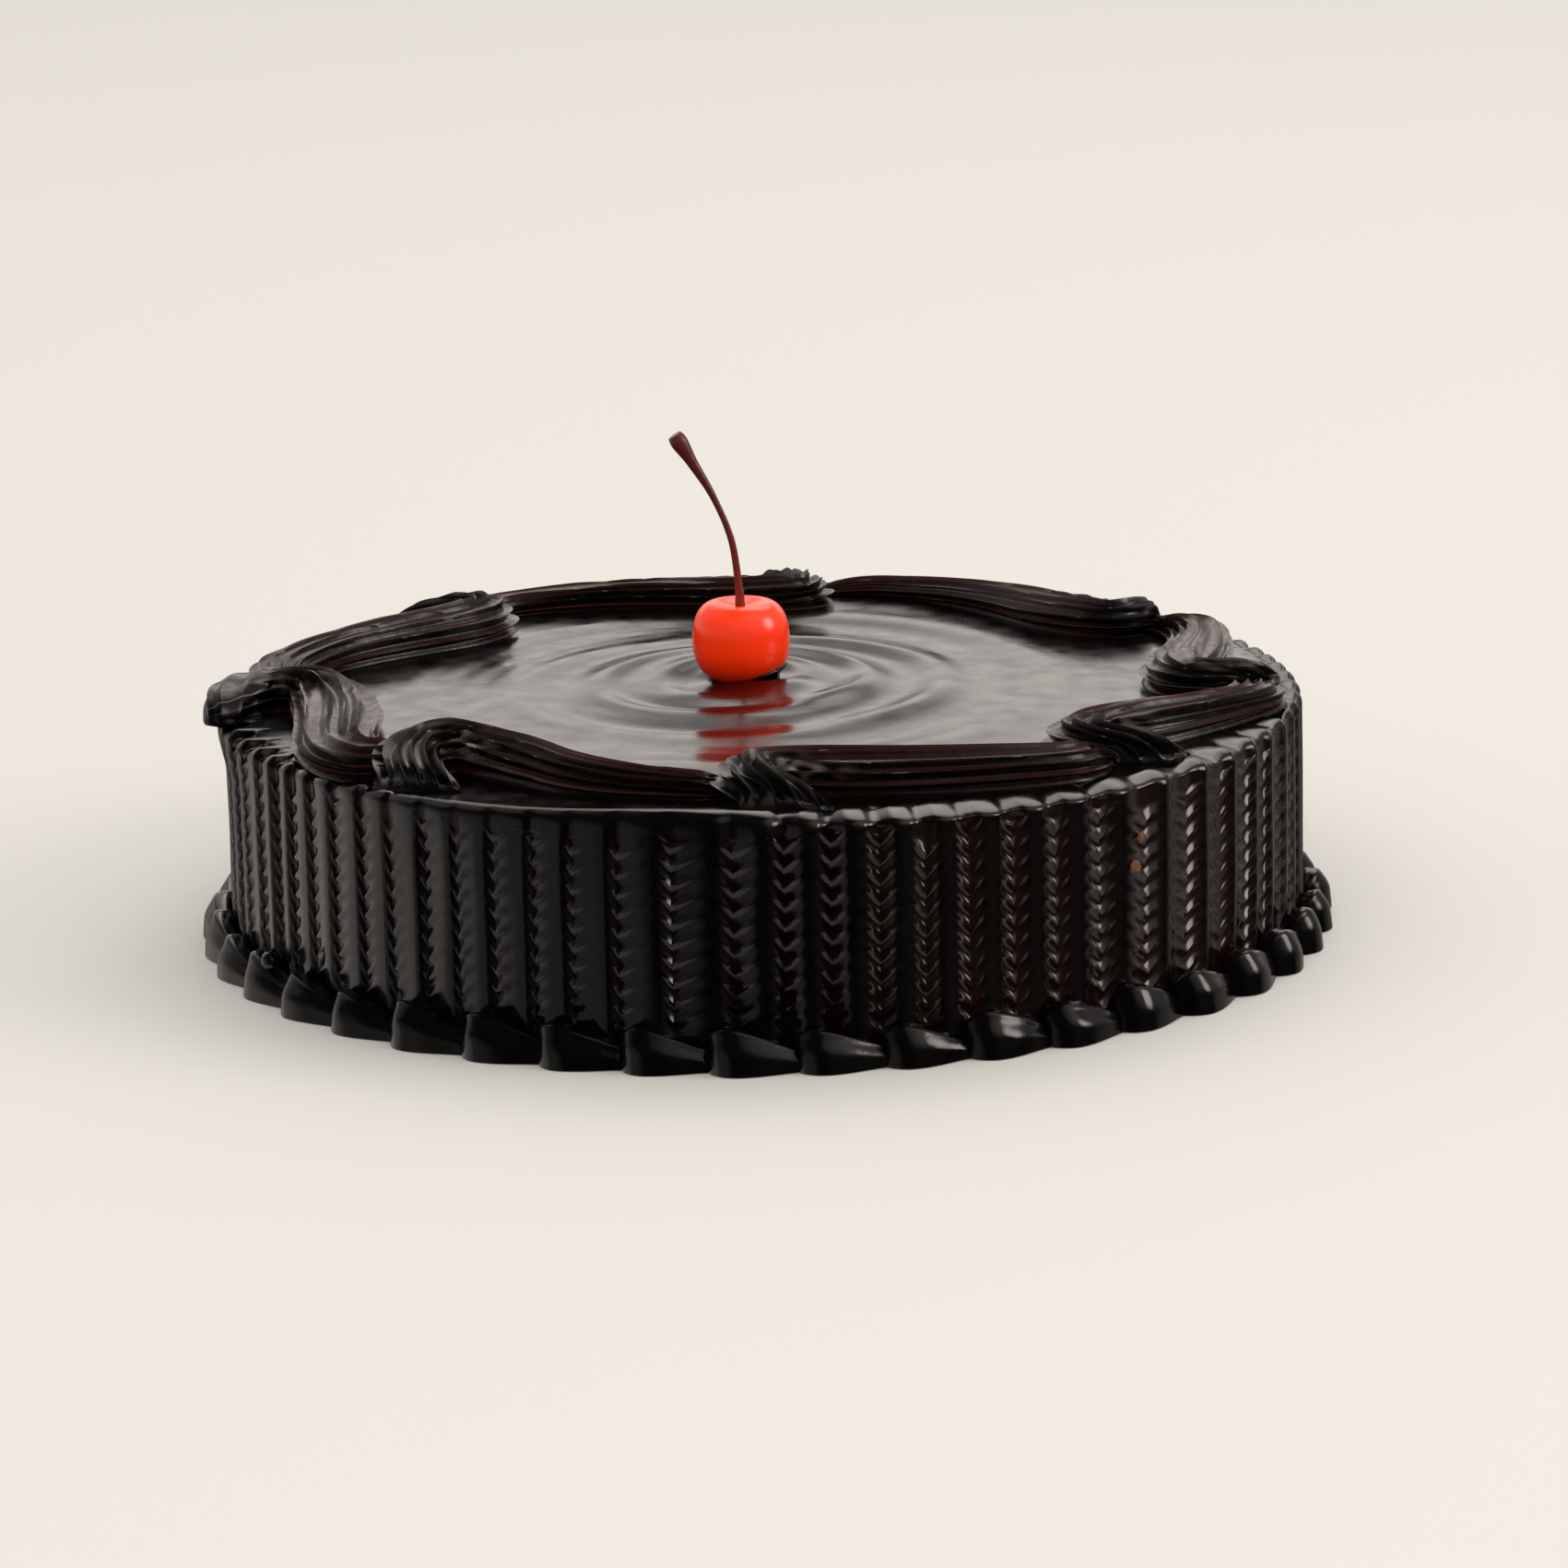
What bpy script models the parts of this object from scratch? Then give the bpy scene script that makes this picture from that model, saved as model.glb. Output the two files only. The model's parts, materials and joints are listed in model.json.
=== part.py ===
"""A round chocolate truffle cake: a ribbed side, a border of piped shells, a garland of piped
scrolls on a poured glaze, and a cherry with its stem.

Lengths are in metres. The cake stands on z = 0 with its centre on the z axis, +Z up, and the
side that is looked at faces -Y. Angles are measured about z from +X, so the front is -90 degrees.
"""

import math
import random

import bmesh
import bpy

# The cake itself: an eight inch round, measured over the crests of its ribs.
CAKE_RADIUS = 0.100
CAKE_HEIGHT = 0.044

# Ribs pressed down the side. Two places have wider ones: each is given as the angle of its middle,
# how much wider they are there and how far that reaches, all in degrees.
RIB_PITCH = math.radians(4.4)
RIB_STRETCHES = (
    (-48.0, 2.0, 17.0),
    (-101.0, 2.0, 6.0),
)
RIB_UNEVENNESS = 0.12
RIB_FIRST = math.radians(-91)
RIB_SEED = 11
RIB_DEPTH = 0.0021
# Where a rib's smooth band ends and where its groove is deepest, as shares of the rib. Toward the
# right the bands are broader and the grooves fall farther over.
RIB_BAND_LEFT = 0.18
RIB_BAND_RIGHT = 0.34
RIB_GROOVE_LEFT = 0.36
RIB_GROOVE_RIGHT = 0.67
RIB_TURNS_AT = math.radians(-112)
RIB_TURNS_OVER = math.radians(30)

# The side from the floor up: height, how far it steps in, and how deep the ribs are there, first
# where the glaze hangs over the rim as a smooth lip, then where the ribs run up to the rim.
SIDE_LEVELS = (
    (0.0, 0.0, 1.0, 1.0),
    (0.0385, 0.0, 1.0, 1.0),
    (0.0412, 0.0002, 0.0, 1.0),
    (0.0431, 0.0005, 0.0, 0.8),
    (CAKE_HEIGHT, 0.0016, 0.0, 0.4),
)
LIP_MIDDLE = math.radians(-111)
LIP_HALF_WIDTH = math.radians(27)
LIP_FADE = math.radians(12)

# The poured top: a flat ring, and a pool whose ripples run round the cherry.
TOP_FLAT_RADIUS = 0.0965
RIPPLE_OUTER_RADIUS = 0.070
RIPPLE_PITCH = 0.010
RIPPLE_RINGS = 13
RIPPLE_HEIGHT = 0.0004

# Scrolls: eight, about one every 45 degrees, the first at the front.
SCROLL_FIRST = math.radians(-90)
SCROLL_RIDGES = 7
SCROLL_RIDGE_DEPTH = 0.0012
SCROLL_GAP = 0.0003
SCROLL_FULLNESS = 0.8
SCROLL_TAIL_AT = 33.0
# Each scroll: degrees past its even place, millimetres its head is pushed outward and its tail is
# drawn inward, the heights of its head and of its tail in millimetres, its share of the length,
# and how far its head spreads.
SCROLL_SHAPES = (
    (0.0, 0.0, 3.0, 8.4, 7.6, 1.0, 1.1),
    (1.0, 0.0, 0.0, 7.8, 6.2, 1.0, 1.1),
    (-4.0, 0.0, 0.0, 6.8, 5.0, 1.0, 1.0),
    (-9.0, 3.0, 1.0, 6.4, 3.8, 1.0, 1.0),
    (-4.0, 0.0, 0.0, 6.2, 3.4, 1.0, 1.0),
    (-1.0, 0.0, 0.0, 8.2, 6.2, 1.0, 1.0),
    (0.0, 0.0, 0.0, 8.2, 6.2, 1.0, 1.0),
    (2.5, 0.0, 12.0, 8.4, 6.6, 0.97, 1.0),
)
# Each slice across a scroll: its left foot and its right foot, as degrees past the scroll's own
# angle and millimetres from the middle of the cake, then how far it bows out in millimetres, and
# its share of the height. First the head's, then the rope's.
HEAD_STATIONS = (
    (-2.8, 89.0, 6.8, 94.6, 3.2, 0.34),
    (-4.6, 86.6, 6.0, 92.0, 2.6, 0.74),
    (-6.2, 83.0, 4.2, 88.6, 1.2, 0.94),
    (-6.2, 78.2, 2.8, 85.6, 0.3, 1.00),
    (-4.4, 74.2, 3.0, 84.4, 0.0, 1.00),
    (-0.6, 71.4, 4.8, 84.6, 0.0, 1.00),
    (5.0, 70.4, 8.4, 86.2, 0.0, 1.00),
)
ROPE_STATIONS = (
    (11.0, 72.2, 12.8, 88.0, 0.0, 1.00),
    (18.0, 76.6, 19.2, 90.6, 0.0, 1.00),
    (26.0, 82.0, 27.0, 94.4, 0.0, 0.98),
    (33.0, 86.0, 34.2, 97.8, 0.0, 0.90),
    (37.2, 88.2, 38.6, 97.4, 0.0, 0.60),
)
# The seventh scroll hangs over the edge at the far left and its tail curls toward the eighth's
# head, whose fan stands square to the front.
SEVENTH_STATIONS = (
    (1.6, 101.4, 8.6, 103.6, 0.8, 0.40),
    (-0.8, 98.6, 9.4, 102.0, 1.4, 0.76),
    (-3.0, 93.8, 9.2, 98.6, 1.2, 0.94),
    (-4.0, 87.8, 7.4, 94.2, 0.6, 1.00),
    (-3.4, 81.6, 5.4, 90.6, 0.0, 1.00),
    (-0.4, 76.8, 5.6, 88.4, 0.0, 1.00),
    (5.0, 73.6, 9.6, 88.2, 0.0, 1.00),
    (11.0, 72.8, 14.6, 88.6, 0.0, 1.00),
    (17.0, 73.8, 21.0, 91.4, 0.0, 1.00),
    (22.0, 76.2, 27.0, 95.6, 0.0, 0.98),
    (26.0, 79.2, 33.4, 98.4, 0.6, 0.96),
    (28.6, 81.2, 37.2, 96.6, 0.8, 0.90),
    (30.0, 82.0, 37.8, 91.4, 0.4, 0.60),
)
EIGHTH_HEAD_STATIONS = (
    (-2.6, 97.4, 7.4, 92.2, 1.6, 0.34),
    (-4.6, 95.2, 6.6, 91.0, 1.8, 0.74),
    (-6.8, 91.0, 5.0, 88.8, 1.2, 0.94),
    (-8.2, 85.4, 3.4, 86.4, 0.3, 1.00),
    (-7.6, 79.2, 2.6, 84.8, 0.0, 1.00),
    (-4.4, 74.0, 3.4, 84.2, 0.0, 1.00),
    (0.6, 71.2, 6.6, 85.2, 0.0, 1.00),
)
SCROLL_STATIONS = (
    *(HEAD_STATIONS + ROPE_STATIONS for _ in range(6)),
    SEVENTH_STATIONS,
    EIGHTH_HEAD_STATIONS + ROPE_STATIONS,
)

# Shells piped round the foot of the side.
SHELLS = 42
SHELL_FIRST = math.radians(-88.1)
SHELL_SEED = 3
SHELL_HEIGHT = 0.0088
SHELL_OUTER_RADIUS = 0.1063
SHELL_UNEVENNESS = 0.05
SHELL_SIDES = 7
SHELL_RIDGE_DEPTH = 0.0003
SHELL_GAP = 0.0003
# Along a shell from its head to its tail: share of the length, of the height and of the width.
SHELL_STATIONS = (
    (0.00, 0.30, 0.45),
    (0.05, 0.68, 0.76),
    (0.16, 0.95, 0.95),
    (0.30, 1.00, 1.00),
    (0.50, 0.88, 0.93),
    (0.72, 0.66, 0.80),
    (0.90, 0.46, 0.64),
    (1.00, 0.34, 0.52),
)

# The cherry and its stem.
CHERRY_RADIUS = 0.0092
CHERRY_HALF_HEIGHT = 0.0086
CHERRY_PLACE = (-0.004, 0.0055, 0.0529)
CHERRY_DIMPLE_DEPTH = 0.0024
CHERRY_DIMPLE_RADIUS = 0.0034
CHERRY_SEGMENTS = 20
CHERRY_RINGS = 14
STEM_RADIUS = 0.00065
# The stem from just over the dimple to its tip: offsets from the cherry's middle, and thickness.
STEM_POINTS = (
    (0.0000, 0.0000, 0.0067, 1.6),
    (-0.0002, 0.0000, 0.0105, 1.15),
    (-0.0014, -0.0002, 0.0190, 1.0),
    (-0.0045, -0.0004, 0.0270, 1.05),
    (-0.0082, -0.0005, 0.0335, 1.5),
    (-0.0104, -0.0005, 0.0372, 2.5),
    (-0.0114, -0.0005, 0.0390, 1.9),
)

CHOCOLATE_COLOUR = (0.0080, 0.0052, 0.0042, 1)
CHERRY_COLOUR = (0.720, 0.030, 0.012, 1)
STEM_COLOUR = (0.160, 0.012, 0.010, 1)
TURN = 2 * math.pi
MILLIMETRE = 0.001


def clear_scene():
    for thing in list(bpy.data.objects):
        bpy.data.objects.remove(thing, do_unlink=True)


def new_collection(name):
    collection = bpy.data.collections.new(name)
    bpy.context.scene.collection.children.link(collection)
    return collection


def new_material(name, colour, roughness, coat=0.0):
    material = bpy.data.materials.new(name)
    material.use_nodes = True
    shader = material.node_tree.nodes["Principled BSDF"]
    shader.inputs["Base Color"].default_value = colour
    shader.inputs["Metallic"].default_value = 0.0
    shader.inputs["Roughness"].default_value = roughness
    shader.inputs["Coat Weight"].default_value = coat
    material.diffuse_color = colour
    return material


def add_object(name, mesh, material, collection):
    for face in mesh.polygons:
        face.use_smooth = True
    mesh.set_sharp_from_angle(angle=math.radians(50))
    mesh.materials.append(material)
    thing = bpy.data.objects.new(name, mesh)
    collection.objects.link(thing)
    return thing


def polar(angle, radius, height):
    return (radius * math.cos(angle), radius * math.sin(angle), height)


def smooth_step(value):
    value = min(max(value, 0.0), 1.0)
    return value * value * (3 - 2 * value)


def wrapped(angle):
    """The same angle between half a turn back and half a turn on."""
    return (angle + math.pi) % TURN - math.pi


def loft(name, slices):
    """A closed solid through slices of equally many points, each slice capped flat at the ends."""
    shape = bmesh.new()
    rows = [[shape.verts.new(point) for point in points] for points in slices]
    count = len(rows[0])
    for lower, upper in zip(rows, rows[1:]):
        for i in range(count):
            j = (i + 1) % count
            shape.faces.new((lower[i], lower[j], upper[j], upper[i]))
    shape.faces.new(list(reversed(rows[0])))
    shape.faces.new(rows[-1])
    bmesh.ops.recalc_face_normals(shape, faces=shape.faces)
    mesh = bpy.data.meshes.new(name)
    shape.to_mesh(mesh)
    shape.free()
    return mesh


def rib_angles():
    """Where each rib starts, all the way round, closing at exactly one turn."""
    draw = random.Random(RIB_SEED)
    widths = []
    while sum(widths) < TURN - RIB_PITCH / 2:
        width = RIB_PITCH
        for middle, wider, reach in RIB_STRETCHES:
            away = math.degrees(wrapped(RIB_FIRST + sum(widths) - math.radians(middle))) / reach
            width = width + math.radians(wider) * math.exp(-away * away)
        widths.append(width * draw.uniform(1 - RIB_UNEVENNESS, 1 + RIB_UNEVENNESS))
    closing = TURN / sum(widths)
    starts = [RIB_FIRST]
    for width in widths:
        starts.append(starts[-1] + width * closing)
    return starts


def smooth_lip(angle):
    """1 where the glaze hangs over the rim as a smooth lip, 0 where the ribs reach the rim."""
    return smooth_step((LIP_HALF_WIDTH - abs(wrapped(angle - LIP_MIDDLE))) / LIP_FADE)


def turned_right(angle):
    """0 toward the left of the cake, 1 toward its right, where the ribs change over."""
    return smooth_step((wrapped(angle) - RIB_TURNS_AT) / RIB_TURNS_OVER)


def side_ring(level, starts):
    """Three points a rib: both edges of its smooth band, and the bottom of the groove after it."""
    height, inset, depth_at_lip, depth_elsewhere = level
    ring = []
    for start, end in zip(starts, starts[1:]):
        right = turned_right(start)
        band = RIB_BAND_LEFT + right * (RIB_BAND_RIGHT - RIB_BAND_LEFT)
        groove = RIB_GROOVE_LEFT + right * (RIB_GROOVE_RIGHT - RIB_GROOVE_LEFT)
        for share, in_groove in ((0, 0), (band, 0), (groove, 1)):
            angle = start + share * (end - start)
            lip = smooth_lip(angle)
            depth = RIB_DEPTH * (depth_at_lip * lip + depth_elsewhere * (1 - lip))
            ring.append(polar(angle, CAKE_RADIUS - inset - depth * in_groove, height))
    return ring


def top_ring(starts, radius, height):
    return [polar(angle, radius, height) for angle in starts[:-1]]


def make_cake(material, collection):
    starts = rib_angles()
    shape = bmesh.new()

    def add_ring(points):
        return [shape.verts.new(point) for point in points]

    def bridge(outer, inner):
        """Joins two rings, of which the outer may have a whole number of points to each inner one."""
        share = len(outer) // len(inner)
        for i in range(len(inner)):
            first = i * share
            arc = [outer[(first + step) % len(outer)] for step in range(share + 1)]
            shape.faces.new((*arc, inner[(i + 1) % len(inner)], inner[i]))

    side = [add_ring(side_ring(level, starts)) for level in SIDE_LEVELS]
    for lower, upper in zip(side, side[1:]):
        bridge(lower, upper)
    flat = add_ring(top_ring(starts, TOP_FLAT_RADIUS, CAKE_HEIGHT))
    bridge(side[-1], flat)
    outer = flat
    for step in range(RIPPLE_RINGS):
        radius = RIPPLE_OUTER_RADIUS - step * RIPPLE_PITCH / 2
        rise = RIPPLE_HEIGHT * (step % 2)
        inner = add_ring(top_ring(starts, radius, CAKE_HEIGHT + rise))
        bridge(outer, inner)
        outer = inner
    shape.faces.new(outer)
    shape.faces.new(list(reversed(side[0])))
    bmesh.ops.recalc_face_normals(shape, faces=shape.faces)
    mesh = bpy.data.meshes.new("cake")
    shape.to_mesh(mesh)
    shape.free()
    return add_object("cake", mesh, material, collection)


def scroll_slice(station, shape, middle, stretch):
    """One slice across a scroll: an arch of ridges from its left foot to its right foot."""
    left_angle, left_radius, right_angle, right_radius, bow, height_share = station
    _, pushed, drawn_in, head_height, tail_height, _, spread = shape
    progress = min(max(right_angle / SCROLL_TAIL_AT, 0.0), 1.0)
    height = height_share * (head_height + progress * (tail_height - head_height))
    shift = pushed * (1 - progress) - drawn_in * progress * progress
    points = []
    steps = 2 * SCROLL_RIDGES
    for step in range(steps + 1):
        across = math.pi * step / steps
        share = (1 - math.cos(across)) / 2
        past = left_angle + share * (right_angle - left_angle)
        past = past * (stretch if past > 0 else spread)
        radius = left_radius + share * (right_radius - left_radius)
        radius = radius + 4 * bow * share * (1 - share) + shift
        groove = SCROLL_RIDGE_DEPTH * (1 - step % 2) * height_share
        rise = max(height * MILLIMETRE * math.sin(across) ** SCROLL_FULLNESS - groove, 0.0)
        angle = middle + math.radians(past)
        points.append(polar(angle, radius * MILLIMETRE, CAKE_HEIGHT + SCROLL_GAP + rise))
    return points


def make_scroll(number, material, collection):
    even_pitch = 360 / len(SCROLL_SHAPES)
    shape = SCROLL_SHAPES[number]
    turned, *_, length_share, _ = shape
    following = SCROLL_SHAPES[(number + 1) % len(SCROLL_SHAPES)][0]
    middle = SCROLL_FIRST + math.radians(even_pitch * number + turned)
    stretch = length_share * (even_pitch + following - turned) / even_pitch
    stations = SCROLL_STATIONS[number]
    slices = [scroll_slice(station, shape, middle, stretch) for station in stations]
    name = f"scroll_{number + 1}"
    return add_object(name, loft(name, slices), material, collection)


def shell_slice(station, start, length, height, width):
    """One slice across a shell: a low arch with soft ridges, its foot against the cake's side."""
    along, height_share, width_share = station
    angle = start + along * length
    inner = CAKE_RADIUS + SHELL_GAP
    points = []
    for step in range(SHELL_SIDES):
        across = math.pi * step / (SHELL_SIDES - 1)
        ridge = SHELL_RIDGE_DEPTH * (step % 2)
        reach = width * width_share * (1 - math.cos(across)) / 2
        rise = height * height_share * math.sin(across) ** 0.7
        points.append(polar(angle, inner + reach, max(rise - ridge, 0.0)))
    return points


def make_shell(number, draw, material, collection):
    pitch = TURN / SHELLS
    start = SHELL_FIRST + pitch * number
    length = pitch - SHELL_GAP / CAKE_RADIUS
    height = SHELL_HEIGHT * draw.uniform(1 - SHELL_UNEVENNESS, 1 + SHELL_UNEVENNESS)
    width = SHELL_OUTER_RADIUS - CAKE_RADIUS - SHELL_GAP
    width = width * draw.uniform(1 - SHELL_UNEVENNESS, 1)
    slices = [shell_slice(station, start, length, height, width) for station in SHELL_STATIONS]
    name = f"shell_{number + 1:02d}"
    return add_object(name, loft(name, slices), material, collection)


def make_cherry(material, collection):
    shape = bmesh.new()
    bmesh.ops.create_uvsphere(
        shape, u_segments=CHERRY_SEGMENTS, v_segments=CHERRY_RINGS, radius=CHERRY_RADIUS
    )
    for point in shape.verts:
        point.co.z = point.co.z * CHERRY_HALF_HEIGHT / CHERRY_RADIUS
        if point.co.z > 0:
            out = math.hypot(point.co.x, point.co.y) / CHERRY_DIMPLE_RADIUS
            point.co.z = point.co.z - CHERRY_DIMPLE_DEPTH * math.exp(-out * out)
    mesh = bpy.data.meshes.new("cherry")
    shape.to_mesh(mesh)
    shape.free()
    cherry = add_object("cherry", mesh, material, collection)
    cherry.location = CHERRY_PLACE
    return cherry


def make_stem(material, collection):
    curve = bpy.data.curves.new("cherry_stem", "CURVE")
    curve.dimensions = "3D"
    curve.bevel_depth = STEM_RADIUS
    curve.bevel_resolution = 2
    curve.resolution_u = 3
    curve.use_fill_caps = True
    spline = curve.splines.new("NURBS")
    spline.points.add(len(STEM_POINTS) - 1)
    for point, (x, y, z, thickness) in zip(spline.points, STEM_POINTS):
        point.co = (x, y, z, 1)
        point.radius = thickness
    spline.order_u = 3
    spline.use_endpoint_u = True
    curve.materials.append(material)
    stem = bpy.data.objects.new("cherry_stem", curve)
    collection.objects.link(stem)
    stem.location = CHERRY_PLACE
    return stem


def main():
    clear_scene()
    collection = new_collection("chocolate_truffle_cake")
    chocolate = new_material("chocolate glaze", CHOCOLATE_COLOUR, 0.22, 0.5)
    piping = new_material("piped chocolate", CHOCOLATE_COLOUR, 0.30, 0.3)
    cherry_skin = new_material("cherry skin", CHERRY_COLOUR, 0.20, 0.5)
    stem_skin = new_material("cherry stem", STEM_COLOUR, 0.35)
    make_cake(chocolate, collection)
    for number in range(len(SCROLL_SHAPES)):
        make_scroll(number, piping, collection)
    draw = random.Random(SHELL_SEED)
    for number in range(SHELLS):
        make_shell(number, draw, piping, collection)
    make_cherry(cherry_skin, collection)
    make_stem(stem_skin, collection)


main()
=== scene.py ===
"""Dresses the chocolate truffle cake: combed side, rippled pool, piped scrolls and shells, cherry.

Laid out as an add-on and run as a script. Lengths are in metres unless a name ends in _MM or a
comment gives another unit. Angles round the cake are from +X, so the front is at -90 degrees.
"""

import json
import math
import random

import bpy
import numpy as np
from mathutils import Matrix, Vector

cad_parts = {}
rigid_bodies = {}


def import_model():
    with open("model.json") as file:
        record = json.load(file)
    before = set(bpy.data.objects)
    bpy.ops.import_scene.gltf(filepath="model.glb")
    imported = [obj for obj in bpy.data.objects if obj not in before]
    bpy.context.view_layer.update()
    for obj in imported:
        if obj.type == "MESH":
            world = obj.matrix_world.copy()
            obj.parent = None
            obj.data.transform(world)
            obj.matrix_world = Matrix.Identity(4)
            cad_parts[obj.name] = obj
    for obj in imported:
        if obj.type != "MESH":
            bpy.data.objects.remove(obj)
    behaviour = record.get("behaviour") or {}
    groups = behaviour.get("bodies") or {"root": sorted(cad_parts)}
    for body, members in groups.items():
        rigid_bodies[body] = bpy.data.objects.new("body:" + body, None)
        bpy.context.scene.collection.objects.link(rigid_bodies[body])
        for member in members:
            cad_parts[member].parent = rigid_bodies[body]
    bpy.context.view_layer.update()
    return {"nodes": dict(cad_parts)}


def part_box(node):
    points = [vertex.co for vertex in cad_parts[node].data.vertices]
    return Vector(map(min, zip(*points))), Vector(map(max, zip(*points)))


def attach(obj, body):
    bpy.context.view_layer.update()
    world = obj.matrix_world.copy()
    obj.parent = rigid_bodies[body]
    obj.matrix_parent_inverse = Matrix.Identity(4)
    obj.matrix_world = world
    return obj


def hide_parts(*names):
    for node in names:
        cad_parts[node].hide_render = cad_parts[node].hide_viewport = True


bl_info = {
    "name": "Chocolate truffle cake",
    "version": (1, 0, 0),
    "blender": (4, 5, 0),
    "location": "3D View > Sidebar > Cake",
    "description": "Glazes, combs, pipes and tops a round chocolate truffle cake",
    "category": "Object",
}

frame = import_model()

MM = 0.001
DEGREE = math.pi / 180
TURN = 2 * math.pi
TINY = 1e-12
WELD_DISTANCE = 1e-6
BODY = "root"

CAKE_MIDDLE = (0.0, 0.0)
CAKE_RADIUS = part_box("cake")[1].x
CHERRY_LOW, CHERRY_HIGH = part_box("cherry")
CHERRY_RADIUS = (CHERRY_HIGH.x - CHERRY_LOW.x) / 2
CHERRY_X, CHERRY_Y, _ = (CHERRY_LOW + CHERRY_HIGH) / 2
CHERRY_MIDDLE = np.array([CHERRY_X, CHERRY_Y, 0.0529])
SCROLLS = sum(name.startswith("scroll_") for name in frame["nodes"])
SHELLS = sum(name.startswith("shell_") for name in frame["nodes"])

# The combed side, as the solid has it: ribs widest just right of the front, each a smooth band and
# then a groove. Shares are of a rib's width. Pairs are the least and the most of an uneven value.
RIB_PITCH = 4.4 * DEGREE
RIB_FIRST = -91 * DEGREE
RIB_SEED = 11
RIB_UNEVENNESS = 0.12
# Where the ribs are wider, how much wider and over what width, in degrees.
RIB_STRETCHES = ((-48.0, 2.0, 17.0), (-101.0, 2.0, 6.0))
BAND_SHARE_LEFT, BAND_SHARE_RIGHT, BAND_SHARE_FAR = 0.18, 0.34, 0.11
BOTTOM_SHARE_LEFT, BOTTOM_SHARE_RIGHT, BOTTOM_SHARE_FAR = 0.36, 0.67, 0.58
BAND_COLUMNS = 2
WALL_COLUMNS = 4
GROOVE_DEPTHS = (0.70, 1.15)
LEFT_DEPTH_SHARE = 0.56
FLAT_DEPTH_SHARE = 0.55
SIDE_WOBBLE = 0.00016
# Where the grooves change shape, going right: where the change starts and how wide it is.
RIGHT_FROM, RIGHT_OVER = -112 * DEGREE, 30 * DEGREE
FLAT_FROM, FLAT_OVER = -88 * DEGREE, 24 * DEGREE
FAR_FROM, FAR_OVER = -58 * DEGREE, 16 * DEGREE

# Chevrons pressed into the grooves.
CHEVRONS = 12
ROWS_PER_CHEVRON = 5
CHEVRON_SEED = 5
CHEVRON_JUMP = 0.0017
CHEVRON_DROPS = (0.80, 1.15)
CHEVRON_HEIGHTS = (0.75, 1.20)
GROOVES_END_AT, GROOVES_END_OVER, GROOVES_END_UNEVENNESS = 0.0375, 0.0030, 0.0010
GROOVES_END_SEED, SIDE_SEED = 21, 31
# Over what height the rows straighten and the chevrons fade, at the foot and under the rim.
ROWS_STRAIGHTEN_OVER, CHEVRONS_FADE_OVER = 0.004, 0.003

# The rim: a smooth lip of glaze at the front left with a bead along it, a bevel at the front right
# and a bulge at the far left.
SIDE_TOP = 0.0415
CHEVRONS_TOP = SIDE_TOP + 0.0005
RIM_HEIGHT = 0.044
RIM_ROUNDING = 0.0020
RIM_ROWS = 8
LIP_MIDDLE, LIP_HALF_WIDTH, LIP_FADE = -111 * DEGREE, 27 * DEGREE, 12 * DEGREE
LIP_FILL_SHARE = 0.5
BEAD_HEIGHT, BEAD_MIDDLE, BEAD_WIDTH = 0.0013, -99 * DEGREE, 15 * DEGREE
BULGE, BULGE_MIDDLE, BULGE_WIDTH = 0.0013, -174 * DEGREE, 11 * DEGREE
BULGE_FROM, BULGE_OVER = 0.0330, 0.0080
BEVEL_MIDDLE, BEVEL_WIDTH = -66 * DEGREE, 26 * DEGREE
BEVEL_FROM = 48 * DEGREE
BEVEL_RUN = 0.0034
BEVEL_DROP = 0.0012
NOTCH_DEPTH = 0.0011
NOTCH_UNEVENNESS = 0.0005
NOTCH_SEED = 41
SLUMP = 0.0012

# The poured pool: rings of points that close in on the cherry, and ripples and mounds round it.
POOL_RADIUS = 0.0740
POOL_RINGS = 44
POOL_HOLE_RADIUS = 0.0006
RIM_TO_POOL_SHARES = (0.03, 0.07, 0.13, 0.22, 0.35, 0.5, 0.66, 0.82, 1.0)
RIPPLE_FIRST = 0.0265
RIPPLE_PITCH = 0.0105
RIPPLE_PITCH_GROWTH = 0.12
RIPPLES_STRONGEST_AT, RIPPLES_STRONG_OVER = 0.029, 0.011
FINE_RIPPLE_PITCH = 0.0052
CALM_RADIUS, CALM_IN_FRONT = 0.006, 0.011
RIPPLES_BEGIN_OVER = 0.004
RIPPLES_END_AT, RIPPLES_END_OVER = 0.084, 0.016
# How far the rings drift outward, on one side and on two.
DRIFT_ONE_SIDE, DRIFT_TWO_SIDES = 0.0018, 0.0010
# The pool's unevenness, each kind with its seed and its scale.
PATCHES, SOFTNESS, STRENGTH = (51, 0.018), (61, 0.013), (71, 0.020)
# Mounds under the cherry: height, radius and width of the slope.
MOUNDS = ((0.0014, 0.0275, 0.0058), (0.0010, 0.0430, 0.0080))
SWELL_HEIGHT, SWELL_RADIUS, SWELL_WIDTH = 0.0006, 0.0112, 0.0032
SWELL_AT, SWELL_TURN = -52 * DEGREE, 0.5

# Scrolls, as the solids have them. Each scroll: degrees past its even place, millimetres its head
# is pushed outward and its tail drawn inward, head and tail height in millimetres, share of the
# length, and how far its head spreads backward.
SCROLL_FIRST = -90 * DEGREE
SCROLL_TAIL_AT = 33.0
SCROLL_UNDERCUT = 28 * DEGREE
SCROLL_SHAPES = (
    (0, 0, 3, 8.4, 7.6, 1, 1.1),
    (1, 0, 0, 7.8, 6.2, 1, 1.1),
    (-4, 0, 0, 6.8, 5, 1, 1),
    (-9, 3, 1, 6.4, 3.8, 1, 1),
    (-4, 0, 0, 6.8, 4.6, 1, 1),
    (-1, 0, 0, 8.2, 6.2, 1, 1),
    (0, 0, 0, 8.2, 6.2, 1, 1),
    (2.5, 0, 11, 8.6, 4.9, 0.97, 1),
)
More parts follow.
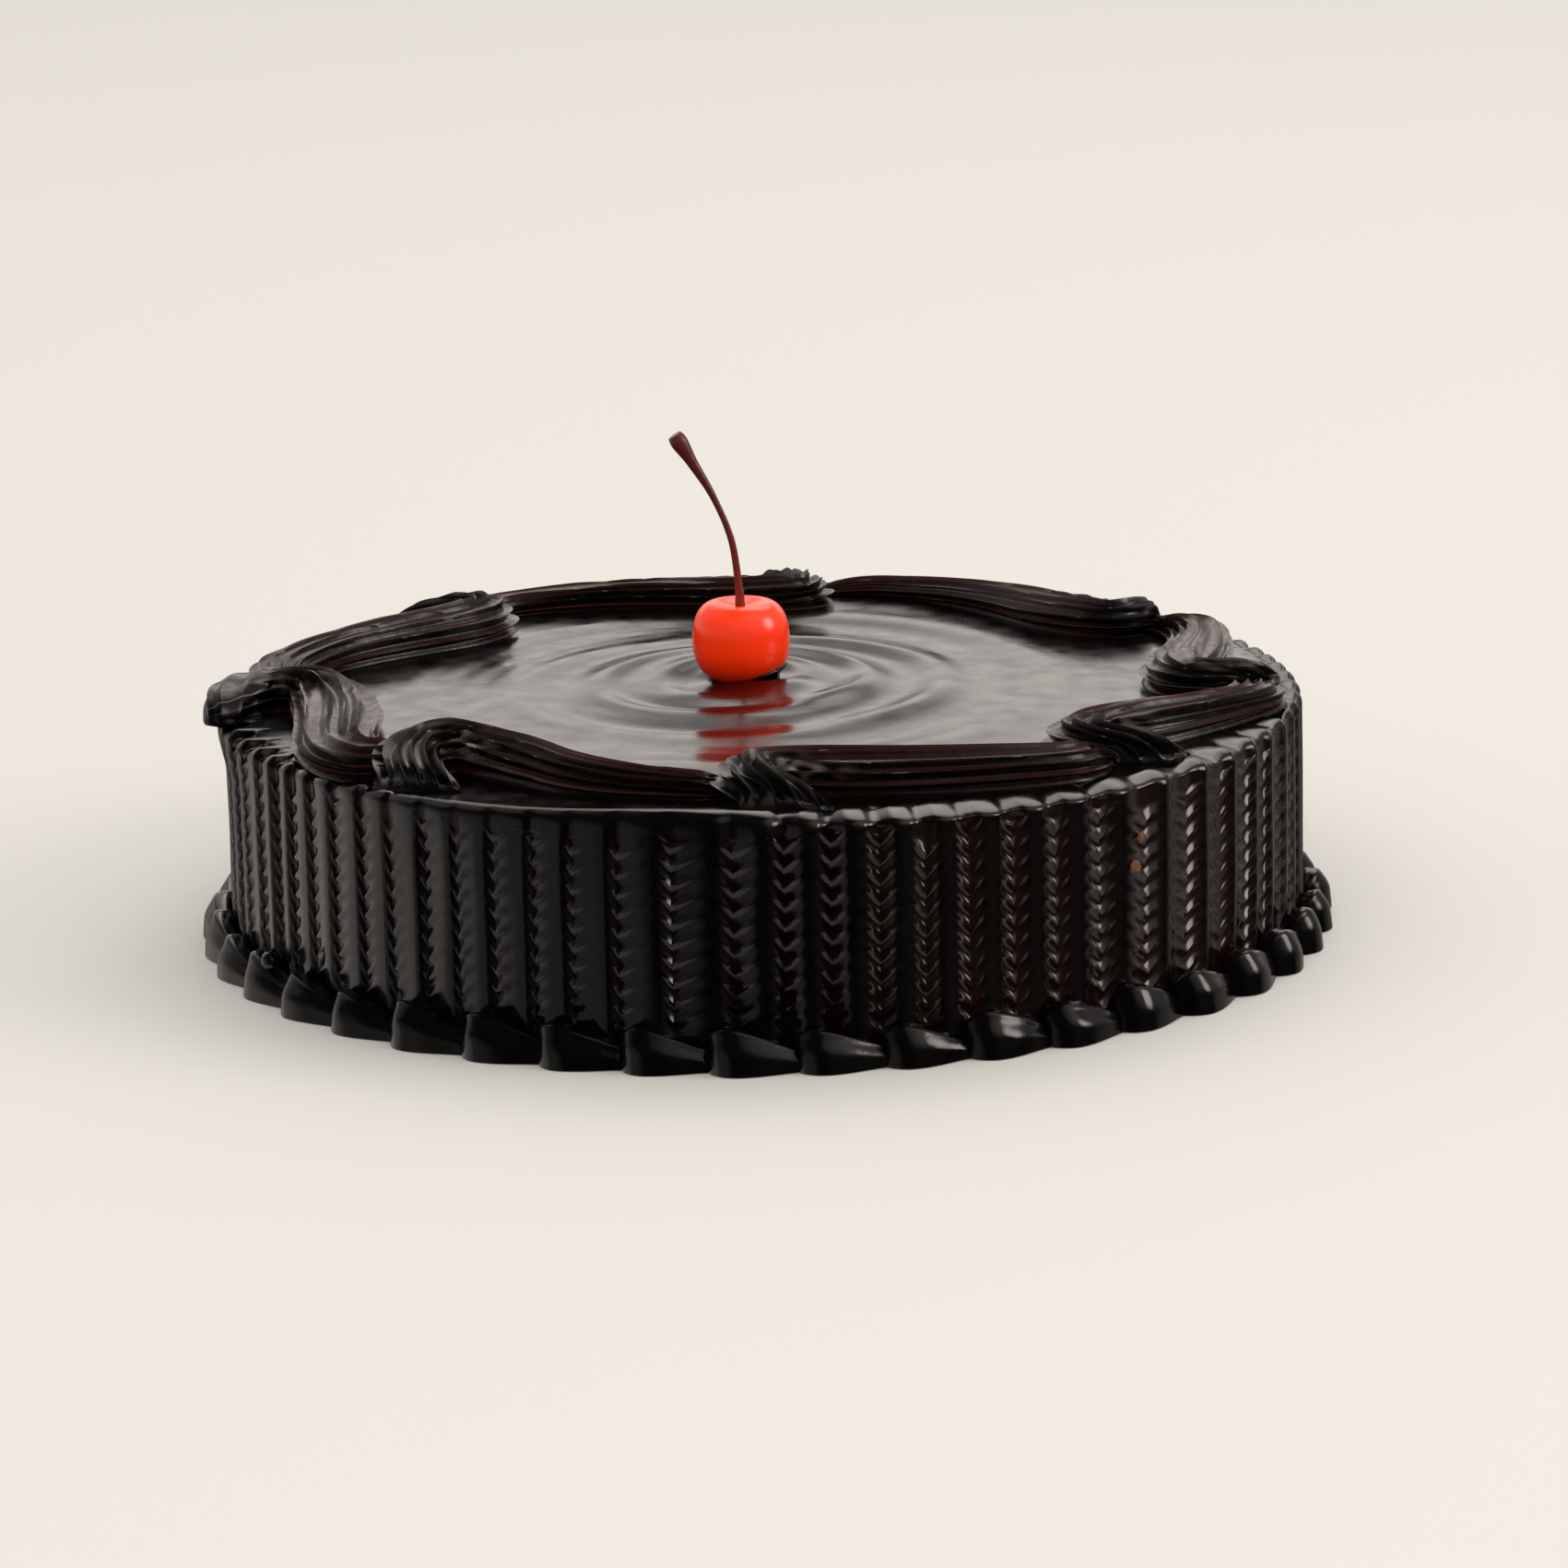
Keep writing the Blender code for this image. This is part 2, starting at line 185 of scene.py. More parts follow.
# Slices across a scroll: left foot and right foot in degrees and millimetres, how far the slice
# bows out in millimetres, and its share of the height.
SCROLL_STATIONS = (
    (-2.4, 89.6, 6.8, 95, 3.2, 0),
    (-2.8, 89, 6.8, 94.6, 3.2, 0.34),
    (-4.6, 86.6, 6, 92, 2.6, 0.74),
    (-6.2, 83, 4.2, 88.6, 1.2, 0.94),
    (-6.2, 78.2, 2.8, 85.6, 0.3, 1),
    (-4.4, 74.2, 3, 84.4, 0, 1),
    (-0.6, 71.4, 4.8, 84.6, 0, 1),
    (5, 70.4, 8.4, 86.2, 0, 1),
    (11, 72.2, 12.8, 88, 0, 1),
    (18, 76.6, 19.2, 90.6, 0, 1),
    (26, 82, 27, 94.4, 0, 0.98),
    (33, 85.6, 34, 97.6, 0, 0.90),
    (38, 86, 38.6, 96.6, 0, 0.78),
    (41.5, 85.6, 42, 93, 0, 0.40),
    (42, 85.6, 42.4, 92.4, 0, 0),
)
# The seventh hangs over the edge at the far left and its tail curls round into the eighth's head,
# whose fan stands square to the front.
OWN_STATIONS = {
    6: (
        (2, 102, 8.4, 103.8, 0.8, 0),
        (1.6, 101.4, 8.8, 103.6, 0.8, 0.46),
        (-0.8, 98.6, 9.6, 102, 1.4, 0.80),
        (-3, 93.8, 9.4, 98.6, 1.2, 0.96),
        (-4, 87.8, 7.4, 94.2, 0.6, 1),
        (-3.4, 81.6, 5.4, 90.6, 0, 1),
        (-0.4, 76.8, 5.6, 88.4, 0, 1),
        (5, 73.6, 9.6, 88.2, 0, 1),
        (11, 72.8, 14.6, 88.6, 0, 1),
        (17, 73.8, 21, 91.4, 0, 1),
        (22, 76.2, 27, 95.6, 0, 0.98),
        (26, 79.2, 33.4, 98.4, 0.6, 0.96),
        (29, 81.4, 38.8, 98, 1, 0.94),
        (31.2, 82.6, 41.8, 93, 0.6, 0.92),
        (32.6, 82.8, 41.8, 87.6, 0, 0.80),
        (33.6, 82.4, 39.8, 84, 0, 0),
    ),
    7: (
        (-2.2, 98, 7.4, 92.6, 1.6, 0),
        (-2.6, 97.4, 7.4, 92.2, 1.6, 0.34),
        (-5, 95.2, 6.4, 91, 1.8, 0.74),
        (-8, 91, 4.2, 88.6, 1.2, 0.94),
        (-10.2, 85.4, 1.6, 85.6, 0.3, 1),
        (-10.2, 79, -0.2, 82.8, 0, 1.02),
        (-7.2, 73.4, 0.6, 80.8, 0, 1.02),
        (-1.4, 69.8, 3.8, 81, 0, 1),
        (6, 70, 8.6, 82.4, 0, 1),
        (12, 73, 13.4, 84.8, 0, 1),
        (18, 77.6, 19.2, 89.2, 0, 1),
        (26, 82.4, 27, 94, 0, 0.98),
        (33, 85.6, 34, 97, 0, 0.92),
        (38, 86, 38.6, 96.6, 0, 0.80),
        (41.5, 85.6, 42, 93, 0, 0.40),
        (42, 85.6, 42.4, 92.4, 0, 0),
    ),
}
SUNK_INTO_TOP = 0.0004
SCROLL_FLOOR = RIM_HEIGHT - SUNK_INTO_TOP
ROPE_COLUMNS = 104
ROPE_ROWS = 176
# Shares along a scroll: where its head is, and how far it reaches.
HEAD_AT, HEAD_REACH = 0.24, 0.20
STREAK_DEPTH = 0.00022
# Crumpled chocolate on a head: the scrolls that have it, where it is across and along, how large.
CRUMPLED = (0, 1, 7)
CRUMPLE_ACROSS, CRUMPLE_ALONG = (0.72, 0.10), (0.40, 0.07)
CRUMPLE_HEIGHT = 0.0010
CRUMPLE_GRAIN = 0.015
# The head that is a swirl, not a fan.
SWIRLED = 6
SWIRL_RIDGES = 5
SWIRL_DEPTH = 0.0005
SWIRL_END = 0.34
HEIGHT_SEED, SWAY_SEED, DEPTH_SEED, GRAIN_SEED, STREAK_SEED = 70, 80, 90, 100, 110
SHEEN_SEED = 130

# Shells round the foot.
SHELL_FIRST = -88.1 * DEGREE
SHELL_SEED = 3
SHELL_ROWS, SHELL_COLUMNS = 30, 36
SHELL_INNER_RADIUS = 0.0986
SHELL_OUTER_RADIUS = 0.1059
SHELL_HEIGHT = 0.0084
SHELL_RIDGES = 4
SHELL_LUMPS = 0.00035
SHELL_LUMP_SEED = 150

# The stem, as the solid has it: offsets from the cherry's middle in millimetres, and thickness.
STEM_POINTS = (
    (0, 0, 5.2, 1.4),
    (0, 0, 6.7, 1.3),
    (-0.2, 0, 10.5, 1.15),
    (-1.4, -0.2, 19.0, 1.0),
    (-4.5, -0.4, 27.0, 1.05),
    (-8.2, -0.5, 33.5, 1.5),
    (-10.4, -0.5, 37.2, 2.5),
    (-11.4, -0.5, 38.8, 1.9),
)
STEM_RADIUS = 0.00065
STEM_ROWS, STEM_COLUMNS = 90, 17
STEM_SEED = 130

# The cherry, and the glaze at its foot. Fullness is the power of its curve, above and below, and
# the cup and the drip are placed from its middle.
CHERRY_HALF_HEIGHT = 0.0086
CHERRY_TOP_FULLNESS, CHERRY_FOOT_FULLNESS = 2.6, 2.4
CHERRY_SEGMENTS, CHERRY_RINGS = 96, 64
CHERRY_SEED = 120
DIMPLE_DEPTH, DIMPLE_RADIUS = 0.0024, 0.0034
CUP_ROWS, CUP_COLUMNS = 34, 97
CUP_CLIMBS_AT = -14 * DEGREE
CUP_LOW_EDGE, CUP_CLIMB, CUP_EDGE_WAVE = -0.0084, 0.0041, 0.0002
CUP_THICKNESS, CUP_THICKER_ON_RIGHT = 0.00030, 0.0002
CUP_LEAST_RADIUS, CUP_EDGE_TUCK = 0.0030, 0.0005
SKIRT_WIDTH, SKIRT_HEIGHT = 0.0010, 0.0022
DRIP_ROWS, DRIP_COLUMNS = 24, 17
DRIP_AT = -33 * DEGREE
DRIP_TOP, DRIP_SUNK = -0.0044, 0.0002
DRIP_RADIUS, DRIP_WIDENS, DRIP_SPREADS = 0.0006, 0.0005, 0.0009
DRIP_REACH, DRIP_LEANS_IN = 0.0079, 0.0006

# Specks on the side: what they are, degrees round, radius, height, and half their depth, width and
# height.
SIDE_SPOTS = (
    ("crumb", -49.9, 0.0998, 0.0283, (0.0008, 0.0011, 0.0012)),
    ("crumb", -49.0, 0.0998, 0.0333, (0.0005, 0.0008, 0.0010)),
    ("wet_spot", -150.6, 0.1028, 0.0078, (0.0016, 0.0018, 0.0017)),
)
SPOT_SEGMENTS, SPOT_RINGS = 28, 20
SPOT_SEED = 140
# How lumpy each kind is.
SPOT_LUMPS = {"crumb": 0.22, "wet_spot": 0.06}

# Chocolate finishes: roughness, gloss level, and the scale and bump of the mottling.
GLAZE, PIPING, BORDER = "poured chocolate glaze", "piped chocolate", "border chocolate"
CHOCOLATE_FINISHES = {
    GLAZE: (0.16, 0.50, 160.0, 0.12),
    PIPING: (0.24, 0.28, 420.0, 0.25),
    BORDER: (0.15, 0.42, 420.0, 0.18),
}
GLOSS_SPREAD = (0.7, 1.5)

# The camera of the photograph: how far off and how high it stood, its slight turns, and its lens.
CAMERA_DISTANCE = 1.19185
CAMERA_ELEVATION = 0.242
CAMERA_AIM_HEIGHT = 0.020
CAMERA_ROLL = -0.021
CAMERA_PAN = 0.003
CAMERA_TILT = 0.005
CAMERA_LENS_MM = 146.5
CAMERA_SENSOR_MM = 36.0


def length_property(name, description, default):
    return bpy.props.FloatProperty(
        name=name, description=description, default=default, subtype="DISTANCE", unit="LENGTH")


def colour_property(name, description, red, green, blue):
    return bpy.props.FloatVectorProperty(
        name=name, description=description, default=(red, green, blue, 1.0), size=4,
        subtype="COLOR")


class CakeSizes(bpy.types.PropertyGroup):
    """Sizes that a baker would change."""

    rib_depth: length_property("Rib depth", "How deep the comb pressed its grooves", 0.0021)
    chevron_height: length_property(
        "Chevron height", "How far the small ridges in a groove stand up", 0.00075)
    chevron_drop: length_property(
        "Chevron drop", "How far a chevron's point hangs below its arms", 0.0027)
    ripple_height: length_property(
        "Ripple height", "How far the ripples stand up round the cherry", 0.00034)
    rope_ridges: bpy.props.IntProperty(
        name="Rope ridges", description="Ridges that the star nozzle leaves on a scroll", default=9)
    rope_ridge_depth: length_property(
        "Rope ridge depth", "How deep the grooves between a scroll's ridges are", 0.0019)
    shell_ridge_depth: length_property(
        "Shell ridge depth", "How deep the grooves along a shell are", 0.00035)


class CakeColours(bpy.types.PropertyGroup):
    """Colours that a baker would change."""

    chocolate: colour_property("Chocolate", "The glaze where it is thick", 0.0011, 0.0007, 0.0005)
    # Partly painted light: thin glaze is browner, and on the scrolls the upward faces also get this
    # colour as painted light from above.
    thin_and_top_lit_chocolate: colour_property(
        "Thin chocolate", "The glaze where it is thin, as on a ridge", 0.0440, 0.0115, 0.0080)
    # Painted highlight: a pale colour laid on the sharp ridges and crumpled patches of the scrolls'
    # heads, standing in for the glaze's sheen.
    painted_edge_sheen: colour_property(
        "Strand edge", "The sheen on the sharp edges of a piped head", 0.150, 0.130, 0.115)
    cherry: colour_property("Cherry", "The cherry's skin", 0.980, 0.036, 0.001)
    # Painted shade: the cherry's underside and left side are darkened towards this colour.
    cherry_painted_shade: colour_property("Deep cherry", "The cherry's darker patches", 0.480, 0.008, 0.003)
    stem: colour_property("Stem", "The cherry's stem", 0.150, 0.012, 0.006)
    stem_dark: colour_property("Dark stem", "The stem's upper half", 0.030, 0.006, 0.005)
    crumb: colour_property("Crumb", "A crumb caught on the side", 0.150, 0.055, 0.020)
    crumb_dark: colour_property("Dark crumb", "The pores of a crumb", 0.070, 0.028, 0.014)
    floor: colour_property("Floor", "The pale floor under the cake", 0.590, 0.565, 0.530)


def sizes():
    return bpy.context.scene.truffle_cake_sizes


def colours():
    return bpy.context.scene.truffle_cake_colours


# --- Shapes as functions


def smooth_step(value):
    """0 below 0, 1 above 1 and a smooth step between them."""
    value = np.clip(value, 0.0, 1.0)
    return value * value * (3 - 2 * value)


def bell(offset, width):
    """1 where the offset is nothing, falling away smoothly over the width to both sides."""
    return np.exp(-(offset / width) ** 2)


def wrapped(angle):
    """The same angle between half a turn back and half a turn on."""
    return (angle + math.pi) % TURN - math.pi


def round_bell(angle, middle, width):
    """A bell round the cake, 1 at its middle."""
    return bell(wrapped(angle - middle), width)


def past_angle(angle, start, over):
    """0 before a place round the cake and 1 after it, the change starting there."""
    return smooth_step((wrapped(angle) - start) / over)


def unevenness(seed, scale, *fields):
    """A smooth, repeatable wobble between about -1 and 1 over any number of like fields."""
    waves = 7
    draw = random.Random(seed)
    total = 0.0
    for _ in range(waves):
        wave = sum(draw.gauss(0.0, 1.0) * field for field in fields)
        total = total + np.sin(wave / scale + draw.uniform(0.0, TURN))
    return total / (waves / 2)


def curve_through(rows, share):
    """Values on a smooth curve through rows of numbers, share running from 0 to 1 along it."""
    rows = np.asarray(rows, float)
    place = np.clip(share, 0.0, 1.0) * (len(rows) - 1)
    start = np.minimum(place.astype(int), len(rows) - 2)
    step = (place - start)[:, None]
    before = rows[np.maximum(start - 1, 0)]
    first, second = rows[start], rows[start + 1]
    after = rows[np.minimum(start + 2, len(rows) - 1)]
    bend = 2 * before - 5 * first + 4 * second - after
    twist = 3 * first - before - 3 * second + after
    return first + 0.5 * step * ((second - before) + step * (bend + step * twist))


def grid_shares(rows, columns):
    """Shares from 0 to 1 down the rows of a grid and across its columns."""
    return np.linspace(0, 1, rows)[:, None], np.linspace(0, 1, columns)[None, :]


def points_round(middle, radius, angle, height):
    """Points at a radius and an angle round a middle, and at a height."""
    across = middle[0] + radius * np.cos(angle)
    along = middle[1] + radius * np.sin(angle)
    return np.stack([across, along, height + 0 * across], axis=-1)


def surface_normals(points):
    """Unit normals of a grid of points, rows by columns."""
    along, across = np.gradient(points, axis=(0, 1))
    normal = np.cross(across, along)
    return normal / np.maximum(np.linalg.norm(normal, axis=2, keepdims=True), TINY)


def pushed_out(points, push):
    """A grid of points moved outward by the push, or inward where the push is negative."""
    return points + surface_normals(points) * push[:, :, None]


def set_down(points, floor):
    """Rests the edges of a grid of points on the floor and keeps the rest above it."""
    height = points[:, :, 2]
    np.maximum(height, floor, out=height)
    height[0] = height[-1] = floor
    height[:, 0] = height[:, -1] = floor


def ridge_groove(phase):
    """0 on a ridge and 1 at the bottom of the round groove between two, phase counting ridges."""
    soft = 0.08
    wave = np.sqrt(np.sin(math.pi * phase) ** 2 + soft * soft) - soft
    return wave / (math.sqrt(1 + soft * soft) - soft)


# --- Meshes


def deselect_all():
    if bpy.context.mode != "OBJECT":
        bpy.ops.object.mode_set(mode="OBJECT")
    for thing in bpy.context.view_layer.objects:
        thing.select_set(False)


def finish_piece(piece, nodes=(), angle=60.0):
    """Shades a piece, makes it ride on the cake, and hides the solid parts it stands in for."""
    deselect_all()
    piece.select_set(True)
    bpy.context.view_layer.objects.active = piece
    bpy.ops.object.transform_apply(location=True, rotation=True, scale=True)
    bpy.ops.object.shade_smooth_by_angle(angle=math.radians(angle))
    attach(piece, BODY)
    if nodes:
        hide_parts(*nodes)


def named_primitive(name):
    """The primitive just added, with its name, and its points."""
    piece = bpy.context.object
    piece.name = name
    piece.data.name = name
    points = np.empty(len(piece.data.vertices) * 3)
    piece.data.vertices.foreach_get("co", points)
    return piece, points.reshape(-1, 3)


def paint(piece, field_name, values):
    """Gives a mesh one number a point, which its material reads by name."""
    layer = piece.data.attributes.new(field_name, "FLOAT", "POINT")
    layer.data.foreach_set("value", np.asarray(values, np.float32).ravel())


def grid_piece(name, points, material, fields=None):
    """A grid primitive drawn over rows of points, its seam welded, its holes closed, facing out."""
    rows, columns = points.shape[:2]
    deselect_all()
    bpy.ops.mesh.primitive_grid_add(x_subdivisions=columns - 1, y_subdivisions=rows - 1, size=1)
    piece, flat = named_primitive(name)
    # The primitive is 1 wide and centred, so its corner is at -0.5.
    column = np.rint((flat[:, 0] + 0.5) * (columns - 1)).astype(int)
    row = np.rint((flat[:, 1] + 0.5) * (rows - 1)).astype(int)
    piece.data.vertices.foreach_set("co", points[row, column].ravel())
    for field_name, values in (fields or {}).items():
        paint(piece, field_name, values[row, column])
    bpy.ops.object.mode_set(mode="EDIT")
    bpy.ops.mesh.select_mode(type="VERT")
    bpy.ops.mesh.select_all(action="SELECT")
    bpy.ops.mesh.remove_doubles(threshold=WELD_DISTANCE)
    bpy.ops.mesh.select_all(action="SELECT")
    bpy.ops.mesh.fill_holes(sides=0)
    bpy.ops.mesh.select_all(action="SELECT")
    bpy.ops.mesh.normals_make_consistent(inside=False)
    bpy.ops.object.mode_set(mode="OBJECT")
    piece.data.materials.append(material)
    return piece


def ball_piece(name, segments, rings, shape, material):
    """A ball primitive whose points a function moves to their places, and those it started from."""
    deselect_all()
    bpy.ops.mesh.primitive_uv_sphere_add(segments=segments, ring_count=rings, radius=1.0)
    piece, ball = named_primitive(name)
    piece.data.vertices.foreach_set("co", shape(ball).ravel())
    piece.data.materials.append(material)
    return piece, ball


# --- Materials


def set_inputs(tree, node, values):
    """Sets a node's inputs, each to a plain value or to what another node puts out."""
    for name, value in values.items():
        if isinstance(value, bpy.types.NodeSocket):
            tree.links.new(value, node.inputs[name])
        else:
            node.inputs[name].default_value = value
    return node


def add_node(tree, kind, values, **settings):
    """Adds a shader node of a kind, with its settings and then its inputs."""
    node = tree.nodes.new(f"ShaderNode{kind}")
    for name, value in settings.items():
        setattr(node, name, value)
    return set_inputs(tree, node, values)


def new_material(name, colour, roughness):
    material = bpy.data.materials.new(name)
    material.use_nodes = True
    material.diffuse_color = colour
    tree = material.node_tree
    shader = set_inputs(tree, tree.nodes["Principled BSDF"], {
        "Base Color": colour, "Roughness": roughness})
    return material, tree, shader


def new_group(name, sockets):
    """A node group with its sockets, each a name, a way and a kind, and its way in and out."""
    group = bpy.data.node_groups.new(name, "ShaderNodeTree")
    for socket, way, kind in sockets:
        group.interface.new_socket(socket, in_out=way, socket_type=f"NodeSocket{kind}")
    return group, group.nodes.new("NodeGroupInput").outputs, group.nodes.new("NodeGroupOutput")


def mottle_group():
    """A node group: soft mottling over Object coordinates, as a mask and as a bumpy normal."""
    group, given, leave = new_group("soft mottle", (
        ("Scale", "INPUT", "Float"), ("Bump", "INPUT", "Float"),
        ("Mask", "OUTPUT", "Float"), ("Normal", "OUTPUT", "Vector")))
    place = add_node(group, "TexCoord", {})
    coarse = add_node(group, "TexNoise", {
        "Vector": place.outputs["Object"], "Scale": given["Scale"],
        "Detail": 3.0, "Roughness": 0.45})
    spread = add_node(group, "MapRange", {
        "Value": coarse.outputs["Fac"], "From Min": 0.30, "From Max": 0.70})
    bump = add_node(group, "Bump", {
        "Strength": given["Bump"], "Distance": 0.0004, "Height": coarse.outputs["Fac"]})
    set_inputs(group, leave, {"Mask": spread.outputs["Result"], "Normal": bump.outputs["Normal"]})
    return group


def chocolate_group():
    """A node group: chocolate that is browner where it is thin and where light from above is
    painted, and paler where a highlight is painted on its sharp edges.
    """
    group, given, leave = new_group("chocolate body", (
        ("Thick", "INPUT", "Color"), ("Thin", "INPUT", "Color"), ("PaintedSheen", "INPUT", "Color"),
        ("ThinnessAndTopLight", "INPUT", "Float"), ("Sharpness", "INPUT", "Float"),
        ("Colour", "OUTPUT", "Color")))
    body = mix_colours(group, given["ThinnessAndTopLight"], given["Thick"], given["Thin"])
    with_painted_sheen = mix_colours(group, given["Sharpness"], body, given["PaintedSheen"])
    set_inputs(group, leave, {"Colour": with_painted_sheen})
    return group


def place_group(tree, name, build, values):
    """Places a node group in a material with its own values, building it the first time."""
    node = tree.nodes.new("ShaderNodeGroup")
    node.node_tree = bpy.data.node_groups.get(name) or build()
    return set_inputs(tree, node, values).outputs


def add_mottle(tree, shader, scale, bump):
    """Makes a shader's surface slightly bumpy and returns the mottling's mask."""
    mottle = place_group(tree, "soft mottle", mottle_group, {"Scale": scale, "Bump": bump})
    set_inputs(tree, shader, {"Normal": mottle["Normal"]})
    return mottle["Mask"]


def read_field(tree, name):
    """The numbers painted on a piece under a name, or 0 where it has none."""
    return add_node(tree, "Attribute", {}, attribute_name=name).outputs["Fac"]


def mix_colours(tree, factor, first, second):
    """The first colour where the factor is 0 and the second where it is 1."""
    mix = add_node(tree, "Mix", {"Factor": factor, "A": first, "B": second}, data_type="RGBA")
    return mix.outputs["Result"]


def chocolate_material(name):
    """Near-black chocolate in one of its finishes, its gloss slightly uneven."""
    if name in bpy.data.materials:
        return bpy.data.materials[name]
    roughness, gloss_level, scale, bump = CHOCOLATE_FINISHES[name]
    thick = tuple(colours().chocolate)
    material, tree, shader = new_material(name, thick, roughness)
    mask = add_mottle(tree, shader, scale, bump)
    # The thin colour is real thinness and, on the scrolls, also painted light from above; the pale
    # edge colour is a painted highlight.
    body = place_group(tree, "chocolate body", chocolate_group, {
        "Thick": thick, "Thin": tuple(colours().thin_and_top_lit_chocolate),
        "PaintedSheen": tuple(colours().painted_edge_sheen),
        "ThinnessAndTopLight": read_field(tree, "thin"), "Sharpness": read_field(tree, "edge")})
    smoothest, dullest = (roughness * share for share in GLOSS_SPREAD)
    gloss = add_node(tree, "MapRange", {"Value": mask, "To Min": smoothest, "To Max": dullest})
    set_inputs(tree, shader, {
        "Base Color": body["Colour"], "Roughness": gloss.outputs["Result"],
        "Specular IOR Level": gloss_level})
    return material


def shaded_material(name, colour, shaded, roughness, scale, bump):
    """A finely bumpy skin that turns to a second colour where the piece is painted with shade."""
    material, tree, shader = new_material(name, colour, roughness)
    add_mottle(tree, shader, scale, bump)
    blend = mix_colours(tree, read_field(tree, "shade"), colour, shaded)
    set_inputs(tree, shader, {"Base Color": blend})
    return material, tree, shader


def cherry_material():
    # The second colour is painted shade, laid on the cherry's underside and left side.
    skin, deep = tuple(colours().cherry), tuple(colours().cherry_painted_shade)
    material, tree, shader = shaded_material("cherry skin", skin, deep, 0.23, 260.0, 0.10)
    set_inputs(tree, shader, {
        "Subsurface Weight": 0.25, "Subsurface Radius": (1.0, 0.15, 0.05),
        "Subsurface Scale": 0.002, "Specular IOR Level": 0.60})
    return material


def stem_material():
    stalk, dark = tuple(colours().stem), tuple(colours().stem_dark)
    return shaded_material("cherry stem", stalk, dark, 0.35, 900.0, 0.3)[0]


def crumb_material():
    sponge, pores = tuple(colours().crumb), tuple(colours().crumb_dark)
    material, tree, shader = new_material("sponge crumb", sponge, 0.75)
    mask = add_mottle(tree, shader, 2400.0, 0.8)
    set_inputs(tree, shader, {"Base Color": mix_colours(tree, mask, pores, sponge)})
    return material


# --- The cake


def rib_starts():
    """Where each rib starts, all the way round, closing at exactly one turn, as in the solid."""
    draw = random.Random(RIB_SEED)
    widths = []
    while sum(widths) < TURN - RIB_PITCH / 2:
        place = RIB_FIRST + sum(widths)
        width = RIB_PITCH
        for middle, wider, over in RIB_STRETCHES:
            away = math.degrees(wrapped(place - math.radians(middle))) / over
            width = width + math.radians(wider) * math.exp(-away * away)
        widths.append(width * draw.uniform(1 - RIB_UNEVENNESS, 1 + RIB_UNEVENNESS))
    closing = TURN / sum(widths)
    return RIB_FIRST + closing * np.concatenate([[0.0], np.cumsum(widths)])


def rim_bulge(angle):
    """How far the rim and the side just under it bulge out at the far left."""
    return BULGE * round_bell(angle, BULGE_MIDDLE, BULGE_WIDTH)


def smooth_lip(angle):
    """1 where the glaze hangs over the rim as a smooth lip, 0 where the ribs reach the rim."""
    return smooth_step((LIP_HALF_WIDTH - np.abs(wrapped(angle - LIP_MIDDLE))) / LIP_FADE)


def turned_right(angle):
    """0 on the left of the cake, where the ribs are smooth, 1 where chevrons fill them."""
    return past_angle(angle, RIGHT_FROM, RIGHT_OVER)


def far_right(angle):
    """1 from the right of the cake on, where the bands are narrow."""
    return past_angle(angle, FAR_FROM, FAR_OVER)


def rib_columns():
    """For each column of points round the cake: its angle, rib, depth in the groove and wall.

    The depth runs from 0 at the band to 1 at the bottom of the groove. The wall is 0 for the left
    one and 1 for the right one, and runs from -1 to 0 across the band."""
    band = np.linspace(0, 1, BAND_COLUMNS, endpoint=False)
    wall = np.linspace(0, 1, WALL_COLUMNS, endpoint=False)
    starts = rib_starts()
    columns = []
    for rib, (start, width) in enumerate(zip(starts, np.diff(starts))):
        right, far = turned_right(start), far_right(start)
        edge = BAND_SHARE_LEFT + right * (BAND_SHARE_RIGHT - BAND_SHARE_LEFT)
        edge = edge + far * (BAND_SHARE_FAR - BAND_SHARE_RIGHT)
        bottom = BOTTOM_SHARE_LEFT + right * (BOTTOM_SHARE_RIGHT - BOTTOM_SHARE_LEFT)
        bottom = bottom + far * (BOTTOM_SHARE_FAR - BOTTOM_SHARE_RIGHT)
        share = np.concatenate(
            [band * edge, edge + wall * (bottom - edge), bottom + wall * (1 - bottom)])
        groove = np.concatenate([0 * band, wall, 1 - wall])
        side = np.concatenate([band - 1, 0 * wall, 0 * wall + 1])
        columns.append([start + width * share, 0 * share + rib, groove, side])
    columns.append([[starts[0] + TURN], [0], [0], [-1]])
    angle, ribs, groove, side = np.concatenate(columns, axis=1)
    return angle, ribs.astype(int), groove, side


def chevron_shift(ribs, groove, side):
    """How far the rows are moved up at each column, so that they run along the chevrons."""
    drop = sizes().chevron_drop
    draw = random.Random(CHEVRON_SEED)
    count = ribs.max() + 1
    tops = np.array([
        draw.uniform(-CHEVRON_JUMP, CHEVRON_JUMP) + drop * draw.uniform(*CHEVRON_DROPS)
        for _ in range(count)])
    across = 1 + side
    last = (ribs - 1) % count
    on_band = (1 - across) * tops[last] + across * tops[ribs]
    return np.where(side < 0, on_band, tops[ribs] - drop * groove)


